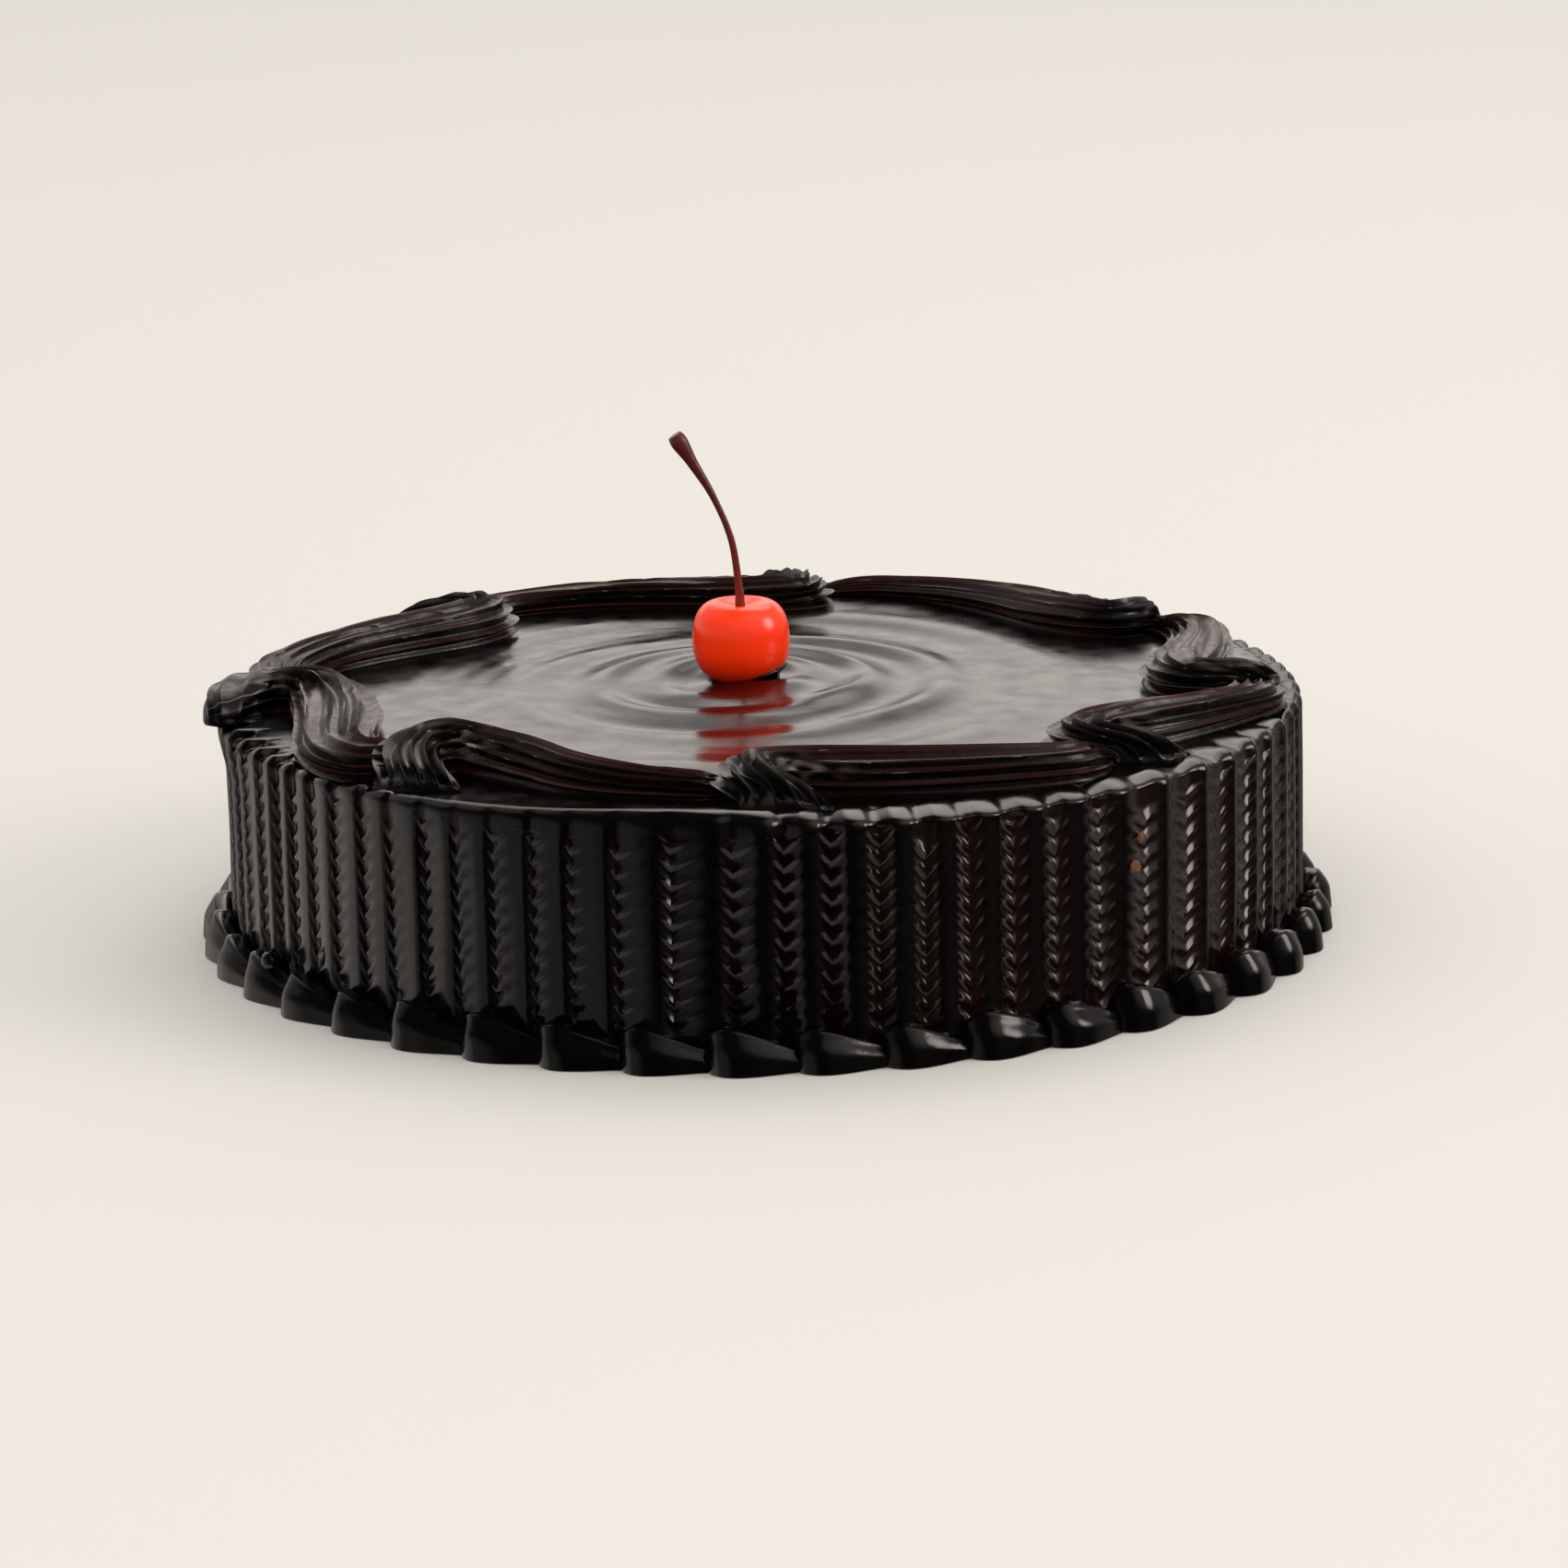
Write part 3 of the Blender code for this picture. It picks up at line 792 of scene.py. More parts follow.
def wall_rows(angle, ribs, groove, side, cut, heights):
    """The combed side from the floor up to the rim: rows of points, and how thin the glaze is."""
    lip, right, far = smooth_lip(angle), turned_right(angle), far_right(angle)
    flat = past_angle(angle, FLAT_FROM, FLAT_OVER)
    bulge = rim_bulge(angle)
    shift = chevron_shift(ribs, groove, side)
    end_wobble = unevenness(GROOVES_END_SEED, 1.0, ribs * 1.7)
    grooves_end = GROOVES_END_AT + GROOVES_END_UNEVENNESS * end_wobble
    # How far a chevron reaches up the groove's walls: all the way on the right, less on the left.
    wide = np.where(side > 0, 0.15 + 0.85 * right, 0.35 + 0.65 * right)
    reach = np.clip(groove * 2.4, 0, 1) * wide + smooth_step((groove - 0.55) / 0.35) * (1 - wide)
    reach = reach * (groove > 0)
    crests = sizes().chevron_height * (1 + 0.35 * flat - 0.45 * far) * heights * reach
    thin = (0.02 + 0.12 * flat) * reach + 0.01 * flat
    points = []
    for level in np.linspace(0.0, SIDE_TOP, CHEVRONS * ROWS_PER_CHEVRON + 1):
        held = smooth_step(level / ROWS_STRAIGHTEN_OVER)
        held = held * smooth_step((SIDE_TOP - level) / ROWS_STRAIGHTEN_OVER)
        height = level + shift * held
        past_end = smooth_step((height - grooves_end) / GROOVES_END_OVER)
        fade = 1 - LIP_FILL_SHARE * lip * past_end
        wave = 0.5 + 0.5 * math.cos(TURN * level * CHEVRONS / SIDE_TOP)
        ends = smooth_step(level / CHEVRONS_FADE_OVER)
        ends = ends * smooth_step((CHEVRONS_TOP - level) / CHEVRONS_FADE_OVER)
        out = CAKE_RADIUS - fade * (cut - crests * wave ** 2 * ends)
        out = out - SIDE_WOBBLE * (1 + unevenness(SIDE_SEED, 1.0, ribs * 2.3, height * 160))
        out = out + bulge * smooth_step((height - BULGE_FROM) / BULGE_OVER)
        points.append(points_round(CAKE_MIDDLE, out, angle, height))
    return points, [thin] * len(points)


def rim_rows(angle, ribs, groove, side, cut):
    """The rounding from the side over to the top: rows of points, and how thin the glaze is."""
    lip = smooth_lip(angle)
    bevel = round_bell(angle, BEVEL_MIDDLE, BEVEL_WIDTH)
    bead = BEAD_HEIGHT * round_bell(angle, BEAD_MIDDLE, BEAD_WIDTH)
    bulge = rim_bulge(angle)
    notch = NOTCH_DEPTH + NOTCH_UNEVENNESS * unevenness(NOTCH_SEED, 1.0, ribs * 1.1)
    notch = (1 - lip) * (1 - 0.6 * bevel) * groove * notch
    climb = RIM_HEIGHT + bead - SIDE_TOP - notch - BEVEL_DROP * bevel
    points, thinness = [], []
    for step in range(1, RIM_ROWS + 1):
        done = step / RIM_ROWS
        turn = 0.5 * math.pi * done
        bevelled = bevel * min(max((turn - BEVEL_FROM) / (0.5 * math.pi - BEVEL_FROM), 0.0), 1.0)
        inset = RIM_ROUNDING * (1 - math.cos(turn)) + BEVEL_RUN * bevelled
        height = SIDE_TOP + climb * math.sin(turn) + BEVEL_DROP * bevelled
        grooved = cut * (1 - LIP_FILL_SHARE * lip) * (1 - (0.92 + 0.08 * bevel) * done)
        slump = (1 - lip) * SLUMP * done * np.where(side == 0, groove, 0.0)
        out = CAKE_RADIUS - SIDE_WOBBLE - inset - grooved - slump + bulge * (1 - 0.5 * done)
        points.append(points_round(CAKE_MIDDLE, out, angle, height))
        thinness.append(0.02 * done * (1 - lip))
    return points, thinness


def side_points(angle, ribs, groove, side):
    """The combed side and the rim's rounding: rows of points, and how thin the glaze is."""
    draw = random.Random(CHEVRON_SEED + 1)
    count = ribs.max() + 1
    depths = np.array([draw.uniform(*GROOVE_DEPTHS) for _ in range(count)])[ribs]
    heights = np.array([draw.uniform(*CHEVRON_HEIGHTS) for _ in range(count)])[ribs]
    right = turned_right(angle)
    flat = past_angle(angle, FLAT_FROM, FLAT_OVER)
    deep = groove ** np.where(side > 0, 0.9 + 0.5 * (1 - right), 0.9)
    deep = (1 - flat) * deep + flat * FLAT_DEPTH_SHARE * smooth_step(groove * 2.2)
    cut = sizes().rib_depth * depths * (LEFT_DEPTH_SHARE + (1 - LEFT_DEPTH_SHARE) * right) * deep
    wall, wall_thin = wall_rows(angle, ribs, groove, side, cut, heights)
    rim, rim_thin = rim_rows(angle, ribs, groove, side, cut)
    return wall + rim, wall_thin + rim_thin


def pool_height(across, along):
    """The poured top's height over its middle plane at a place: ripples round the cherry."""
    rise = sizes().ripple_height
    away_x, away_y = across - CHERRY_X, along - CHERRY_Y
    away = np.hypot(away_x, away_y)
    bearing = np.arctan2(away_y, away_x)
    # The rings aren't quite round: they drift outward on one side.
    drift = DRIFT_ONE_SIDE * np.sin(bearing + 0.7) + DRIFT_TWO_SIDES * np.sin(2 * bearing + 2.0)
    pitch = RIPPLE_PITCH + RIPPLE_PITCH_GROWTH * away
    phase = TURN * (away + drift - RIPPLE_FIRST) / pitch - 0.5 * np.sin(bearing - 0.6)
    broad = np.cos(phase) + 0.18 * np.cos(2 * phase + 0.8)
    broad = broad * (1 + 1.5 * bell(away - RIPPLES_STRONGEST_AT, RIPPLES_STRONG_OVER))
    fine = np.cos(TURN * (away - 1.5 * drift) / FINE_RIPPLE_PITCH + 1.3 * np.sin(3 * bearing))
    patches = 0.5 + 0.5 * unevenness(*PATCHES, across, along)
    calm = CALM_RADIUS + CALM_IN_FRONT * round_bell(bearing, -math.pi / 2, 0.8)
    near = smooth_step((away - calm) / RIPPLES_BEGIN_OVER)
    near = near * smooth_step((RIPPLES_END_AT - away) / RIPPLES_END_OVER)
    soft = unevenness(*SOFTNESS, across, along)
    strong = 0.75 + 0.35 * unevenness(*STRENGTH, across, along)
    uneven = 0.75 - 0.25 * np.sin(2 * bearing + 0.9)
    mound = sum(height * uneven * smooth_step((radius + drift - away) / slope)
                for height, radius, slope in MOUNDS)
    aside = round_bell(bearing, SWELL_AT, SWELL_TURN)
    mound = mound + SWELL_HEIGHT * bell(away - SWELL_RADIUS, SWELL_WIDTH) * aside
    return mound + near * rise * (strong * broad + 0.12 * fine * patches) + 0.30 * rise * soft


def top_points(angle, side_edge):
    """The poured top: rings from the rim to the pool, and then rings round the cherry."""
    edge_radius = np.hypot(side_edge[:, 0], side_edge[:, 1])
    points = []
    for share in RIM_TO_POOL_SHARES:
        radius = edge_radius * (1 - share) + POOL_RADIUS * share
        ring = points_round(CAKE_MIDDLE, radius, angle, 0.0)
        settle = smooth_step(share * 7.0)
        settled = RIM_HEIGHT + settle * pool_height(ring[:, 0], ring[:, 1])
        ring[:, 2] = settled * settle + side_edge[:, 2] * (1 - settle)
        points.append(ring)
    for share in np.linspace(0, 1, POOL_RINGS)[1:]:
        radius = POOL_RADIUS * (1 - share) + POOL_HOLE_RADIUS * share
        moved = smooth_step(share)
        ring = points_round((CHERRY_X * moved, CHERRY_Y * moved), radius, angle, 0.0)
        ring[:, 2] = RIM_HEIGHT + pool_height(ring[:, 0], ring[:, 1])
        points.append(ring)
    return points


class TRUFFLECAKE_OT_glaze_cake(bpy.types.Operator):
    """Make the glazed cake: its combed side with chevrons, its rim and its rippled pool"""

    bl_idname = "truffle_cake.glaze_cake"
    bl_label = "Glaze the cake"

    def execute(self, context):
        angle, ribs, groove, wall = rib_columns()
        side, side_thin = side_points(angle, ribs, groove, wall)
        top = top_points(angle, side[-1])
        points = np.array(side + top)
        thin = np.zeros(points.shape[:2])
        thin[:len(side)] = side_thin
        piece = grid_piece("glazed_cake", points, chocolate_material(GLAZE), {"thin": thin})
        finish_piece(piece, ["cake"])
        return {"FINISHED"}


# --- The scrolls


def scroll_surface(number, grown, across, head):
    """The arched surface of one scroll before it is ridged, as a grid of points."""
    even_pitch = 360 / SCROLLS
    turned, pushed, drawn_in, head_height, tail_height, length_share, spread = SCROLL_SHAPES[number]
    following = SCROLL_SHAPES[(number + 1) % SCROLLS][0]
    middle = SCROLL_FIRST + math.radians(even_pitch * number + turned)
    stretch = length_share * (even_pitch + following - turned) / even_pitch

    values = curve_through(OWN_STATIONS.get(number, SCROLL_STATIONS), grown[:, 0])
    left_angle, left_radius, right_angle, right_radius, bow, share_up = values.T[:, :, None]
    progress = np.clip(right_angle / SCROLL_TAIL_AT, 0, 1)
    height = np.clip(share_up, 0, 1.1) * (head_height + progress * (tail_height - head_height))
    height = height * (1 + 0.05 * unevenness(HEIGHT_SEED + number, 0.16, grown))
    shift = pushed * (1 - progress) - drawn_in * progress * progress

    undercut = SCROLL_UNDERCUT * (1 - 0.7 * head)
    arc = across * (math.pi + 2 * undercut) - undercut
    share = 0.5 - 0.5 * np.cos(arc) / np.cos(undercut)
    past = left_angle + share * (right_angle - left_angle)
    past = np.where(past > 0, past * stretch, past * spread)
    radius = left_radius + share * (right_radius - left_radius)
    radius = radius + 4 * bow * share * (1 - share) + shift
    lifted = (np.sin(arc) + np.sin(undercut)) / (1 + np.sin(undercut))
    rise = height * np.clip(lifted, 0, 1) ** 0.92
    angle = middle + np.radians(past)
    return points_round(CAKE_MIDDLE, radius * MM, angle, SCROLL_FLOOR + rise * MM)


def scroll_points(number):
    """The ridged surface of one scroll, how thin its chocolate is, with painted light from above on
    its upward faces, and where a highlight is painted on its sharp edges.
    """
    grown, across = grid_shares(ROPE_ROWS, ROPE_COLUMNS)
    head = bell(grown - HEAD_AT, HEAD_REACH)
    points = scroll_surface(number, grown, across, head)

    sway = 0.035 * unevenness(SWAY_SEED + number, 0.25, 3 * across, grown)
    phase = sizes().rope_ridges * np.clip(across + sway * np.sin(math.pi * across), 0, 1)
    phase = phase + 0.10 * np.sin(TURN * phase)
    groove = ridge_groove(phase)
    groove = (1 - head) * groove + head * groove ** 0.8
    uneven_depth = 1 + 0.3 * unevenness(DEPTH_SEED + number, 0.2, grown, 4 * across)
    depth = sizes().rope_ridge_depth * (0.60 + 0.52 * head) * uneven_depth
    depth = depth * (1.5 if number == SWIRLED else 1.0)
    streak = ridge_groove(3 * phase + 0.25 * unevenness(STREAK_SEED + number, 0.1, grown, across))
    depth = depth * groove + STREAK_DEPTH * streak * (1 - 0.7 * head)
    ends = smooth_step((grown - 0.02) / 0.08) * smooth_step((1 - grown) / 0.06)
    feet = smooth_step(across / 0.05) * smooth_step((1 - across) / 0.05)
    if number == SWIRLED:
        swirl = ridge_groove(SWIRL_RIDGES * grown / SWIRL_END + 0.8 * across)
        depth = depth * smooth_step((grown - 0.24) / 0.14)
        depth = depth + SWIRL_DEPTH * swirl * smooth_step((SWIRL_END - grown) / 0.08)
    crumple = bell(across - CRUMPLE_ACROSS[0], CRUMPLE_ACROSS[1])
    crumple = crumple * bell(grown - CRUMPLE_ALONG[0], CRUMPLE_ALONG[1])
    crumple = crumple * (1.0 if number in CRUMPLED else 0.3)
    grain = unevenness(GRAIN_SEED + number, CRUMPLE_GRAIN, 1.3 * across, grown)
    points = pushed_out(points, (CRUMPLE_HEIGHT * crumple * grain - depth * ends) * feet)
    set_down(points, SCROLL_FLOOR)

    # Painted light from above: upward-facing faces get the browner colour, added to the real
    # browning where the glaze is thin on the crests.
    upward = smooth_step((surface_normals(points)[:, :, 2] - 0.35) / 0.5)
    roped = smooth_step((grown - 0.30) / 0.16)
    thin = ends * roped * upward * (0.30 + 0.45 * (1 - groove) ** 2)
    # Painted highlight: a pale sheen on the head's sharp ridges and, brighter, on its crumpled
    # patch.
    sheen = 0.50 + 0.30 * unevenness(SHEEN_SEED, 0.1, grown, across)
    edge = head ** 2 * ends * feet * (1 - groove) ** 8 * sheen
    edge = edge + 1.8 * crumple * np.clip(grain, 0, 1)
    return points, np.clip(thin, 0, 1), np.clip(edge, 0, 1)


class TRUFFLECAKE_OT_pipe_scrolls(bpy.types.Operator):
    """Pipe the garland of scrolls round the top, each a fan-shaped head that curls into a rope"""

    bl_idname = "truffle_cake.pipe_scrolls"
    bl_label = "Pipe the scrolls"

    def execute(self, context):
        piping = chocolate_material(PIPING)
        for number in range(SCROLLS):
            points, thin, edge = scroll_points(number)
            name = f"scroll_{number + 1}"
            piece = grid_piece(f"piped_{name}", points, piping, {"thin": thin, "edge": edge})
            finish_piece(piece, [name], angle=55)
        return {"FINISHED"}


# --- The shells


def shell_points(number, draw):
    """The arched surface of one shell: a full head and a tail that runs under the next one."""
    pitch = TURN / SHELLS
    along, across = grid_shares(SHELL_ROWS, SHELL_COLUMNS)
    height = SHELL_HEIGHT * draw.uniform(0.90, 1.0)
    reach = (SHELL_OUTER_RADIUS - SHELL_INNER_RADIUS) * draw.uniform(0.92, 1.0)
    lean = draw.uniform(-0.05, 0.05)
    length = pitch * draw.uniform(1.08, 1.18)
    turn = draw.uniform(-0.12, 0.12)
    # The head swells quickly to its full height and width, and both fall away along the tail.
    share_up = np.clip(1 - (1 - np.clip(along / 0.26, 0, 1)) ** 2, 0, 1) ** 0.40
    share_up = share_up * (1 - (0.60 + lean) * smooth_step((along - 0.22) / 0.95) ** 0.9)
    share_wide = np.clip(1 - (1 - np.clip(along / 0.34, 0, 1)) ** 2, 0, 1) ** 0.50
    share_wide = share_wide * (1 - 0.46 * smooth_step((along - 0.32) / 0.8))
    end = smooth_step((1 - along) / 0.05)
    share_up, share_wide = share_up * end, np.maximum(share_wide, 0.02)
    arc = math.pi * across
    out = SHELL_INNER_RADIUS + reach * share_wide * (1 - np.cos(arc)) / 2
    rise = height * share_up * np.clip(np.sin(arc), 0, 1) ** 0.85
    angle = SHELL_FIRST + pitch * number + along * length
    angle = angle + 0.02 * share_up * np.sin(arc) * (along - 0.3)
    points = points_round(CAKE_MIDDLE, out, angle, rise)
    groove = ridge_groove(SHELL_RIDGES * across + turn + 0.5)
    lumps = SHELL_LUMPS * unevenness(SHELL_LUMP_SEED + number, 0.25, along, 1.6 * across)
    push = lumps - sizes().shell_ridge_depth * groove
    points = pushed_out(points, push * np.sin(arc) * smooth_step(along / 0.15) * end)
    set_down(points, 0.0)
    return points


class TRUFFLECAKE_OT_pipe_shells(bpy.types.Operator):
    """Pipe the border of shells round the foot, each tail under the next shell's head"""

    bl_idname = "truffle_cake.pipe_shells"
    bl_label = "Pipe the shells"

    def execute(self, context):
        border = chocolate_material(BORDER)
        draw = random.Random(SHELL_SEED)
        for number in range(SHELLS):
            name = f"shell_{number + 1:02d}"
            piece = grid_piece(f"piped_{name}", shell_points(number, draw), border)
            finish_piece(piece, [name], angle=50)
        return {"FINISHED"}


# --- The cherry


def cherry_form(ball):
    """A ball's points moved to the cherry: flattened, dimpled where its stem sits, dented."""
    out = np.hypot(ball[:, 0], ball[:, 1])
    upper = ball[:, 2] > 0
    fullness = np.where(upper, CHERRY_TOP_FULLNESS, CHERRY_FOOT_FULLNESS)
    full = (1 - np.abs(ball[:, 2]) ** fullness) ** (1 / fullness) / np.maximum(out, 1e-6)
    full = np.where(out > 1e-6, full, 1.0)
    wobble = 1 + 0.010 * unevenness(CHERRY_SEED, 0.9, *ball.T)
    shaped = ball * np.array([CHERRY_RADIUS, CHERRY_RADIUS, CHERRY_HALF_HEIGHT]) * wobble[:, None]
    shaped[:, :2] = shaped[:, :2] * full[:, None] * 0.99
    dimple = DIMPLE_DEPTH * bell(out * CHERRY_RADIUS, DIMPLE_RADIUS)
    shaped[:, 2] = shaped[:, 2] - np.where(upper, dimple, 0.0)
    return shaped + CHERRY_MIDDLE


def glaze_cup():
    """Glaze that wets the cherry's foot: a skin whose edge climbs to the right, and its skirt."""
    along, across = grid_shares(CUP_ROWS, CUP_COLUMNS)
    angle = TURN * across
    climb = 0.5 + 0.5 * np.cos(angle - CUP_CLIMBS_AT)
    edge = CUP_LOW_EDGE + CUP_CLIMB * climb ** 2.6 + CUP_EDGE_WAVE * np.sin(5 * angle + 1.0)
    foot = RIM_HEIGHT - SUNK_INTO_TOP - CHERRY_MIDDLE[2]
    height = foot + (edge - foot) * (1 - along)
    skin = 1 - (np.abs(height) / CHERRY_HALF_HEIGHT) ** CHERRY_FOOT_FULLNESS
    skin = CHERRY_RADIUS * np.clip(skin, 0, 1) ** (1 / CHERRY_FOOT_FULLNESS)
    skirt = SKIRT_WIDTH * (1 - np.clip((height - foot) / SKIRT_HEIGHT, 0, 1)) ** 2
    clear = (CUP_THICKNESS + CUP_THICKER_ON_RIGHT * climb) * smooth_step(along / 0.10)
    radius = np.maximum(skin, CUP_LEAST_RADIUS) + clear + skirt
    radius[0] = radius[0] - CUP_EDGE_TUCK
    points = points_round(CHERRY_MIDDLE, radius, angle, CHERRY_MIDDLE[2] + height)
    return grid_piece("glaze_on_cherry", points, chocolate_material(GLAZE))


def glaze_drip():
    """A strand of glaze that runs from the cherry's wet edge down to the pool."""
    along, across = grid_shares(DRIP_ROWS, DRIP_COLUMNS)
    top, bottom = CHERRY_MIDDLE[2] + DRIP_TOP, RIM_HEIGHT - DRIP_SUNK
    spread = smooth_step((along - 0.8) / 0.2)
    thick = DRIP_RADIUS + DRIP_WIDENS * along ** 2 + DRIP_SPREADS * spread
    thick = thick * smooth_step(along / 0.12) ** 0.5
    reach = DRIP_REACH - DRIP_LEANS_IN * along
    middle = (CHERRY_X + reach * math.cos(DRIP_AT), CHERRY_Y + reach * math.sin(DRIP_AT))
    points = points_round(middle, thick, TURN * across, top + (bottom - top) * along)
    return grid_piece("glaze_drip", points, chocolate_material(GLAZE))


class TRUFFLECAKE_OT_place_cherry(bpy.types.Operator):
    """Make the cherry, and the glaze that clings to its foot and drips from it"""

    bl_idname = "truffle_cake.place_cherry"
    bl_label = "Place the cherry"

    def execute(self, context):
        piece, ball = ball_piece(
            "ripe_cherry", CHERRY_SEGMENTS, CHERRY_RINGS, cherry_form, cherry_material())
        # Painted shade: darker towards the cherry's underside and on its left side.
        shade = 0.8 * smooth_step(-ball[:, 2] * 0.9 - 0.1) + 0.2 * smooth_step(-ball[:, 0] - 0.2)
        paint(piece, "shade", shade)
        finish_piece(piece, ["cherry"])
        for glaze in (glaze_cup(), glaze_drip()):
            finish_piece(glaze)
        return {"FINISHED"}


class TRUFFLECAKE_OT_set_stem(bpy.types.Operator):
    """Make the cherry's stem: a thin bent stalk that thickens at its broken tip"""

    bl_idname = "truffle_cake.set_stem"
    bl_label = "Set the stem"

    def execute(self, context):
        along, across = grid_shares(STEM_ROWS, STEM_COLUMNS)
        path = curve_through(STEM_POINTS, along[:, 0])
        middle = path[:, :3] * MM + CHERRY_MIDDLE
        heading = np.gradient(middle, axis=0)
        heading = heading / np.linalg.norm(heading, axis=1, keepdims=True)
        aside = np.cross(heading, np.array([0.0, 1.0, 0.0]))
        aside = aside / np.linalg.norm(aside, axis=1, keepdims=True)
        upward = np.cross(aside, heading)
        angle = TURN * across
        knots = 1 + 0.10 * unevenness(STEM_SEED, 0.05, along, 0.02 * np.sin(angle))
        thick = (STEM_RADIUS * path[:, 3:] * knots)[:, :, None]
        angle = angle[:, :, None]
        ring = np.cos(angle) * aside[:, None, :] + np.sin(angle) * upward[:, None, :]
        shade = 0.6 * smooth_step((along - 0.25) / 0.4) + 0 * across
        points = middle[:, None, :] + thick * ring
        piece = grid_piece("bent_stem", points, stem_material(), {"shade": shade})
        finish_piece(piece, ["cherry_stem"], angle=45)
        return {"FINISHED"}


def spot_form(angle, radius, height, size, lumpy, seed):
    """A function that moves a ball's points to a flattened lump pressed against the side."""
    out = np.array([math.cos(angle), math.sin(angle), 0.0])
    aside = np.array([-math.sin(angle), math.cos(angle), 0.0])
    upward = np.array([0.0, 0.0, 1.0])

    def form(ball):
        rough = 1 + lumpy * unevenness(seed, 0.35, *ball.T)
        shaped = ball * rough[:, None] * np.array(size)
        return out * radius + upward * height + shaped @ np.array([out, aside, upward])

    return form


class TRUFFLECAKE_OT_scatter_crumbs(bpy.types.Operator):
    """Stick two sponge crumbs to the side and a wet drop of glaze to the border"""

    bl_idname = "truffle_cake.scatter_crumbs"
    bl_label = "Scatter the crumbs"

    def execute(self, context):
        for number, (kind, angle, radius, height, size) in enumerate(SIDE_SPOTS):
            material = crumb_material() if kind == "crumb" else chocolate_material(GLAZE)
            form = spot_form(
                math.radians(angle), radius, height, size, SPOT_LUMPS[kind], SPOT_SEED + number)
            name = f"{kind}_{number + 1}"
            piece, _ = ball_piece(name, SPOT_SEGMENTS, SPOT_RINGS, form, material)
            finish_piece(piece)
        return {"FINISHED"}


# --- The stage


# Soft lights: name, place, aim, width and height, power and colour.
SOFT_LIGHTS = (
    ("side light", (1.75, -0.40, 0.95), (0, 0, 0.03), (1.0, 0.9), 14.0, (1.0, 0.98, 0.96)),
    ("fill", (-0.3, -1.5, 1.1), (0, 0, 0.05), (1.2, 1.0), 6.0, (1.0, 0.98, 0.96)),
    ("overhead", (0.3, 0.9, 1.9), (0, 0.3, 0.0), (1.6, 1.2), 9.8, (1.0, 0.98, 0.95)),
)
FLOOR_SIZE = 12.0
FLOOR_GAP = 0.0002

# What the glaze mirrors: azimuth and elevation, full and outer half-width in degrees, brightness.
SKY_LOBES = (
    (158, -14, 8, 42, 0.58),
    (205, -15, 8, 46, 0.26),
    (138, -8, 8, 34, 0.22),
    (38, -10, 10, 44, 0.25),
    (5, 42, 10, 45, 0.42),
    (325, 45, 8, 40, 0.50),
    (320, 5, 5, 45, 0.06),
    (72, 52, 5, 26, 3.00),
    (105, 46, 5, 22, 1.00),
    (350, 22, 8, 16, 6.50),
    (155, 43, 10, 34, 0.42),
    (0, -90, 36, 64, 0.62),
    (90, 90, 0, 180, 0.02),
)
BACK_GLOW = (90, 14, 12, 56, 1.44)
# Between which heights in the sky the glow fades and rises, and how bright it is at each.
GLOW_FADES = (0.26, 0.56, 1.0, 0.15)
GLOW_RISES = (0.00, 0.22, 0.12, 1.0)


def add_soft_light(name, place, aim, size, power, colour):
    light = bpy.data.lights.new(name, "AREA")
    light.shape = "RECTANGLE"
    light.size, light.size_y = size
    light.energy = power
    light.color = colour
    thing = bpy.data.objects.new(name, light)
    bpy.context.scene.collection.objects.link(thing)
    thing.location = place
    thing.rotation_euler = (Vector(aim) - Vector(place)).to_track_quat("-Z", "Y").to_euler()
    thing.visible_camera = False
    thing.visible_glossy = False


def add_camera():
    """The camera, placed by its distance and elevation and turned by its pan, tilt and roll."""
    data = bpy.data.cameras.new("photo camera")
    data.lens = CAMERA_LENS_MM
    data.sensor_width = CAMERA_SENSOR_MM
    camera = bpy.data.objects.new("photo camera", data)
    bpy.context.scene.collection.objects.link(camera)
    camera.location = (0.0, -CAMERA_DISTANCE * math.cos(CAMERA_ELEVATION),
                       CAMERA_AIM_HEIGHT + CAMERA_DISTANCE * math.sin(CAMERA_ELEVATION))
    tilt = math.pi / 2 - CAMERA_ELEVATION + CAMERA_TILT
    turn = Matrix.Rotation(-CAMERA_PAN, 3, "Z") @ Matrix.Rotation(tilt, 3, "X")
    camera.rotation_euler = (turn @ Matrix.Rotation(CAMERA_ROLL, 3, "Z")).to_euler()
    bpy.context.scene.camera = camera


def sky_direction(tree, azimuth, elevation):
    """The cosine of the angle between a direction of the sky and the one that is looked up."""
    turned, raised = math.radians(azimuth), math.radians(elevation)
    direction = (
        math.cos(raised) * math.cos(turned), math.cos(raised) * math.sin(turned), math.sin(raised))
    place = add_node(tree, "TexCoord", {})
    dot = add_node(tree, "VectorMath", {}, operation="DOT_PRODUCT")
    set_inputs(tree, dot, {0: place.outputs["Generated"], 1: direction})
    return dot.outputs["Value"]


def smooth_range(tree, value, low, high, bottom, top):
    step = add_node(tree, "MapRange", {
        "Value": value, "From Min": low, "From Max": high, "To Min": bottom, "To Max": top,
    }, interpolation_type="SMOOTHSTEP")
    return step.outputs["Result"]


def add_lobe(tree, azimuth, elevation, inner, outer, brightness):
    """A soft patch of light in the sky, full within the inner angle and gone at the outer."""
    closeness = sky_direction(tree, azimuth, elevation)
    edge, full = math.cos(math.radians(outer)), math.cos(math.radians(inner))
    return smooth_range(tree, closeness, edge, full, 0.0, brightness)


def combine(tree, operation, values):
    total = values[0]
    for value in values[1:]:
        total = add_node(tree, "Math", {0: total, 1: value}, operation=operation).outputs[0]
    return total


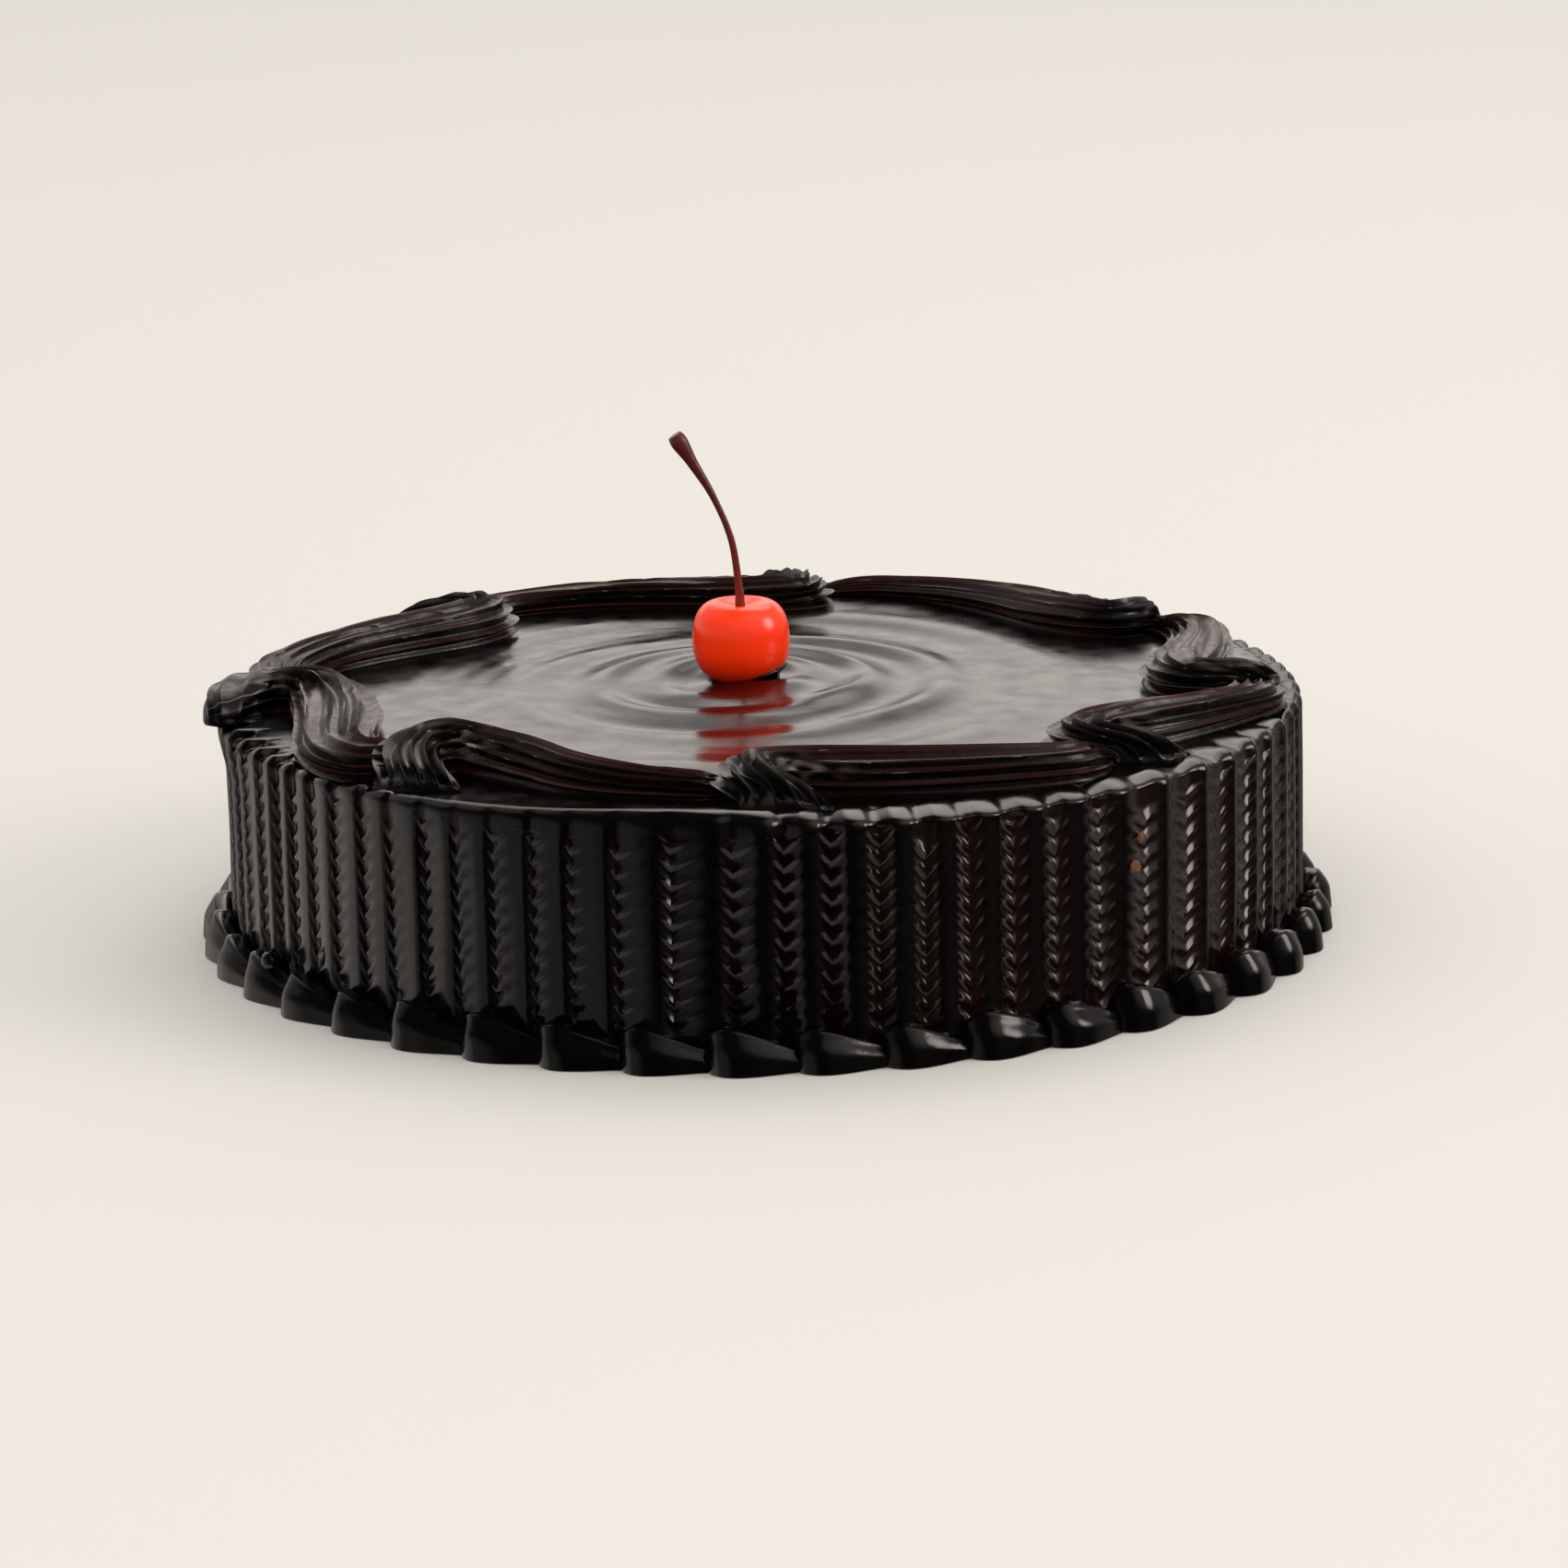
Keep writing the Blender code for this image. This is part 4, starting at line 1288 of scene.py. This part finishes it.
def add_sky():
    """Soft even light, and what the glaze mirrors: a pale glow behind, dark in front."""
    world = bpy.data.worlds.new("soft studio")
    bpy.context.scene.world = world
    world.use_nodes = True
    tree = world.node_tree
    height = sky_direction(tree, 0, 90)
    glow = [add_lobe(tree, *BACK_GLOW)]
    glow += [smooth_range(tree, height, *stretch) for stretch in (GLOW_FADES, GLOW_RISES)]
    lobes = [add_lobe(tree, *lobe) for lobe in SKY_LOBES]
    lobes.append(combine(tree, "MULTIPLY", glow))
    even = set_inputs(tree, tree.nodes["Background"], {
        "Color": (0.97, 0.955, 0.925, 1.0), "Strength": 1.12})
    mirrored = add_node(tree, "Background", {
        "Color": (1.0, 0.925, 0.865, 1.0), "Strength": combine(tree, "ADD", lobes)})
    path = add_node(tree, "LightPath", {})
    choose = add_node(tree, "MixShader", {
        0: path.outputs["Is Glossy Ray"], 1: even.outputs[0], 2: mirrored.outputs[0]})
    set_inputs(tree, tree.nodes["World Output"], {"Surface": choose.outputs[0]})


class TRUFFLECAKE_OT_set_stage(bpy.types.Operator):
    """Lay the pale floor and set up the soft lights and the camera"""

    bl_idname = "truffle_cake.set_stage"
    bl_label = "Set the stage"

    def execute(self, context):
        deselect_all()
        bpy.ops.mesh.primitive_plane_add(size=FLOOR_SIZE, location=(0, 0, -FLOOR_GAP))
        floor = bpy.context.object
        floor.name = "pale_floor"
        material, _, shader = new_material("pale floor", tuple(colours().floor), 0.85)
        shader.inputs["Specular IOR Level"].default_value = 0.1
        floor.data.materials.append(material)
        floor.visible_glossy = False
        for light in SOFT_LIGHTS:
            add_soft_light(*light)
        add_sky()
        add_camera()
        context.scene.view_settings.view_transform = "Standard"
        return {"FINISHED"}


# --- The add-on


OPERATORS = (
    TRUFFLECAKE_OT_set_stage,
    TRUFFLECAKE_OT_glaze_cake,
    TRUFFLECAKE_OT_pipe_scrolls,
    TRUFFLECAKE_OT_pipe_shells,
    TRUFFLECAKE_OT_place_cherry,
    TRUFFLECAKE_OT_set_stem,
    TRUFFLECAKE_OT_scatter_crumbs,
)


class TRUFFLECAKE_PT_panel(bpy.types.Panel):
    """Lists the steps and the sizes and colours of the cake"""

    bl_idname = "TRUFFLECAKE_PT_panel"
    bl_label = "Chocolate truffle cake"
    bl_space_type = "VIEW_3D"
    bl_region_type = "UI"
    bl_category = "Cake"

    def draw(self, context):
        for operator in OPERATORS:
            self.layout.operator(operator.bl_idname)
        for group in (sizes(), colours()):
            box = self.layout.box()
            for name in group.__annotations__:
                box.prop(group, name)


CLASSES = (CakeSizes, CakeColours, *OPERATORS, TRUFFLECAKE_PT_panel)


def register():
    for cls in CLASSES:
        bpy.utils.register_class(cls)
    bpy.types.Scene.truffle_cake_sizes = bpy.props.PointerProperty(type=CakeSizes)
    bpy.types.Scene.truffle_cake_colours = bpy.props.PointerProperty(type=CakeColours)


def unregister():
    del bpy.types.Scene.truffle_cake_colours
    del bpy.types.Scene.truffle_cake_sizes
    for cls in reversed(CLASSES):
        bpy.utils.unregister_class(cls)


def main():
    register()
    for operator in OPERATORS:
        category, action = operator.bl_idname.split(".")
        getattr(getattr(bpy.ops, category), action)()


if __name__ == "__main__":
    main()
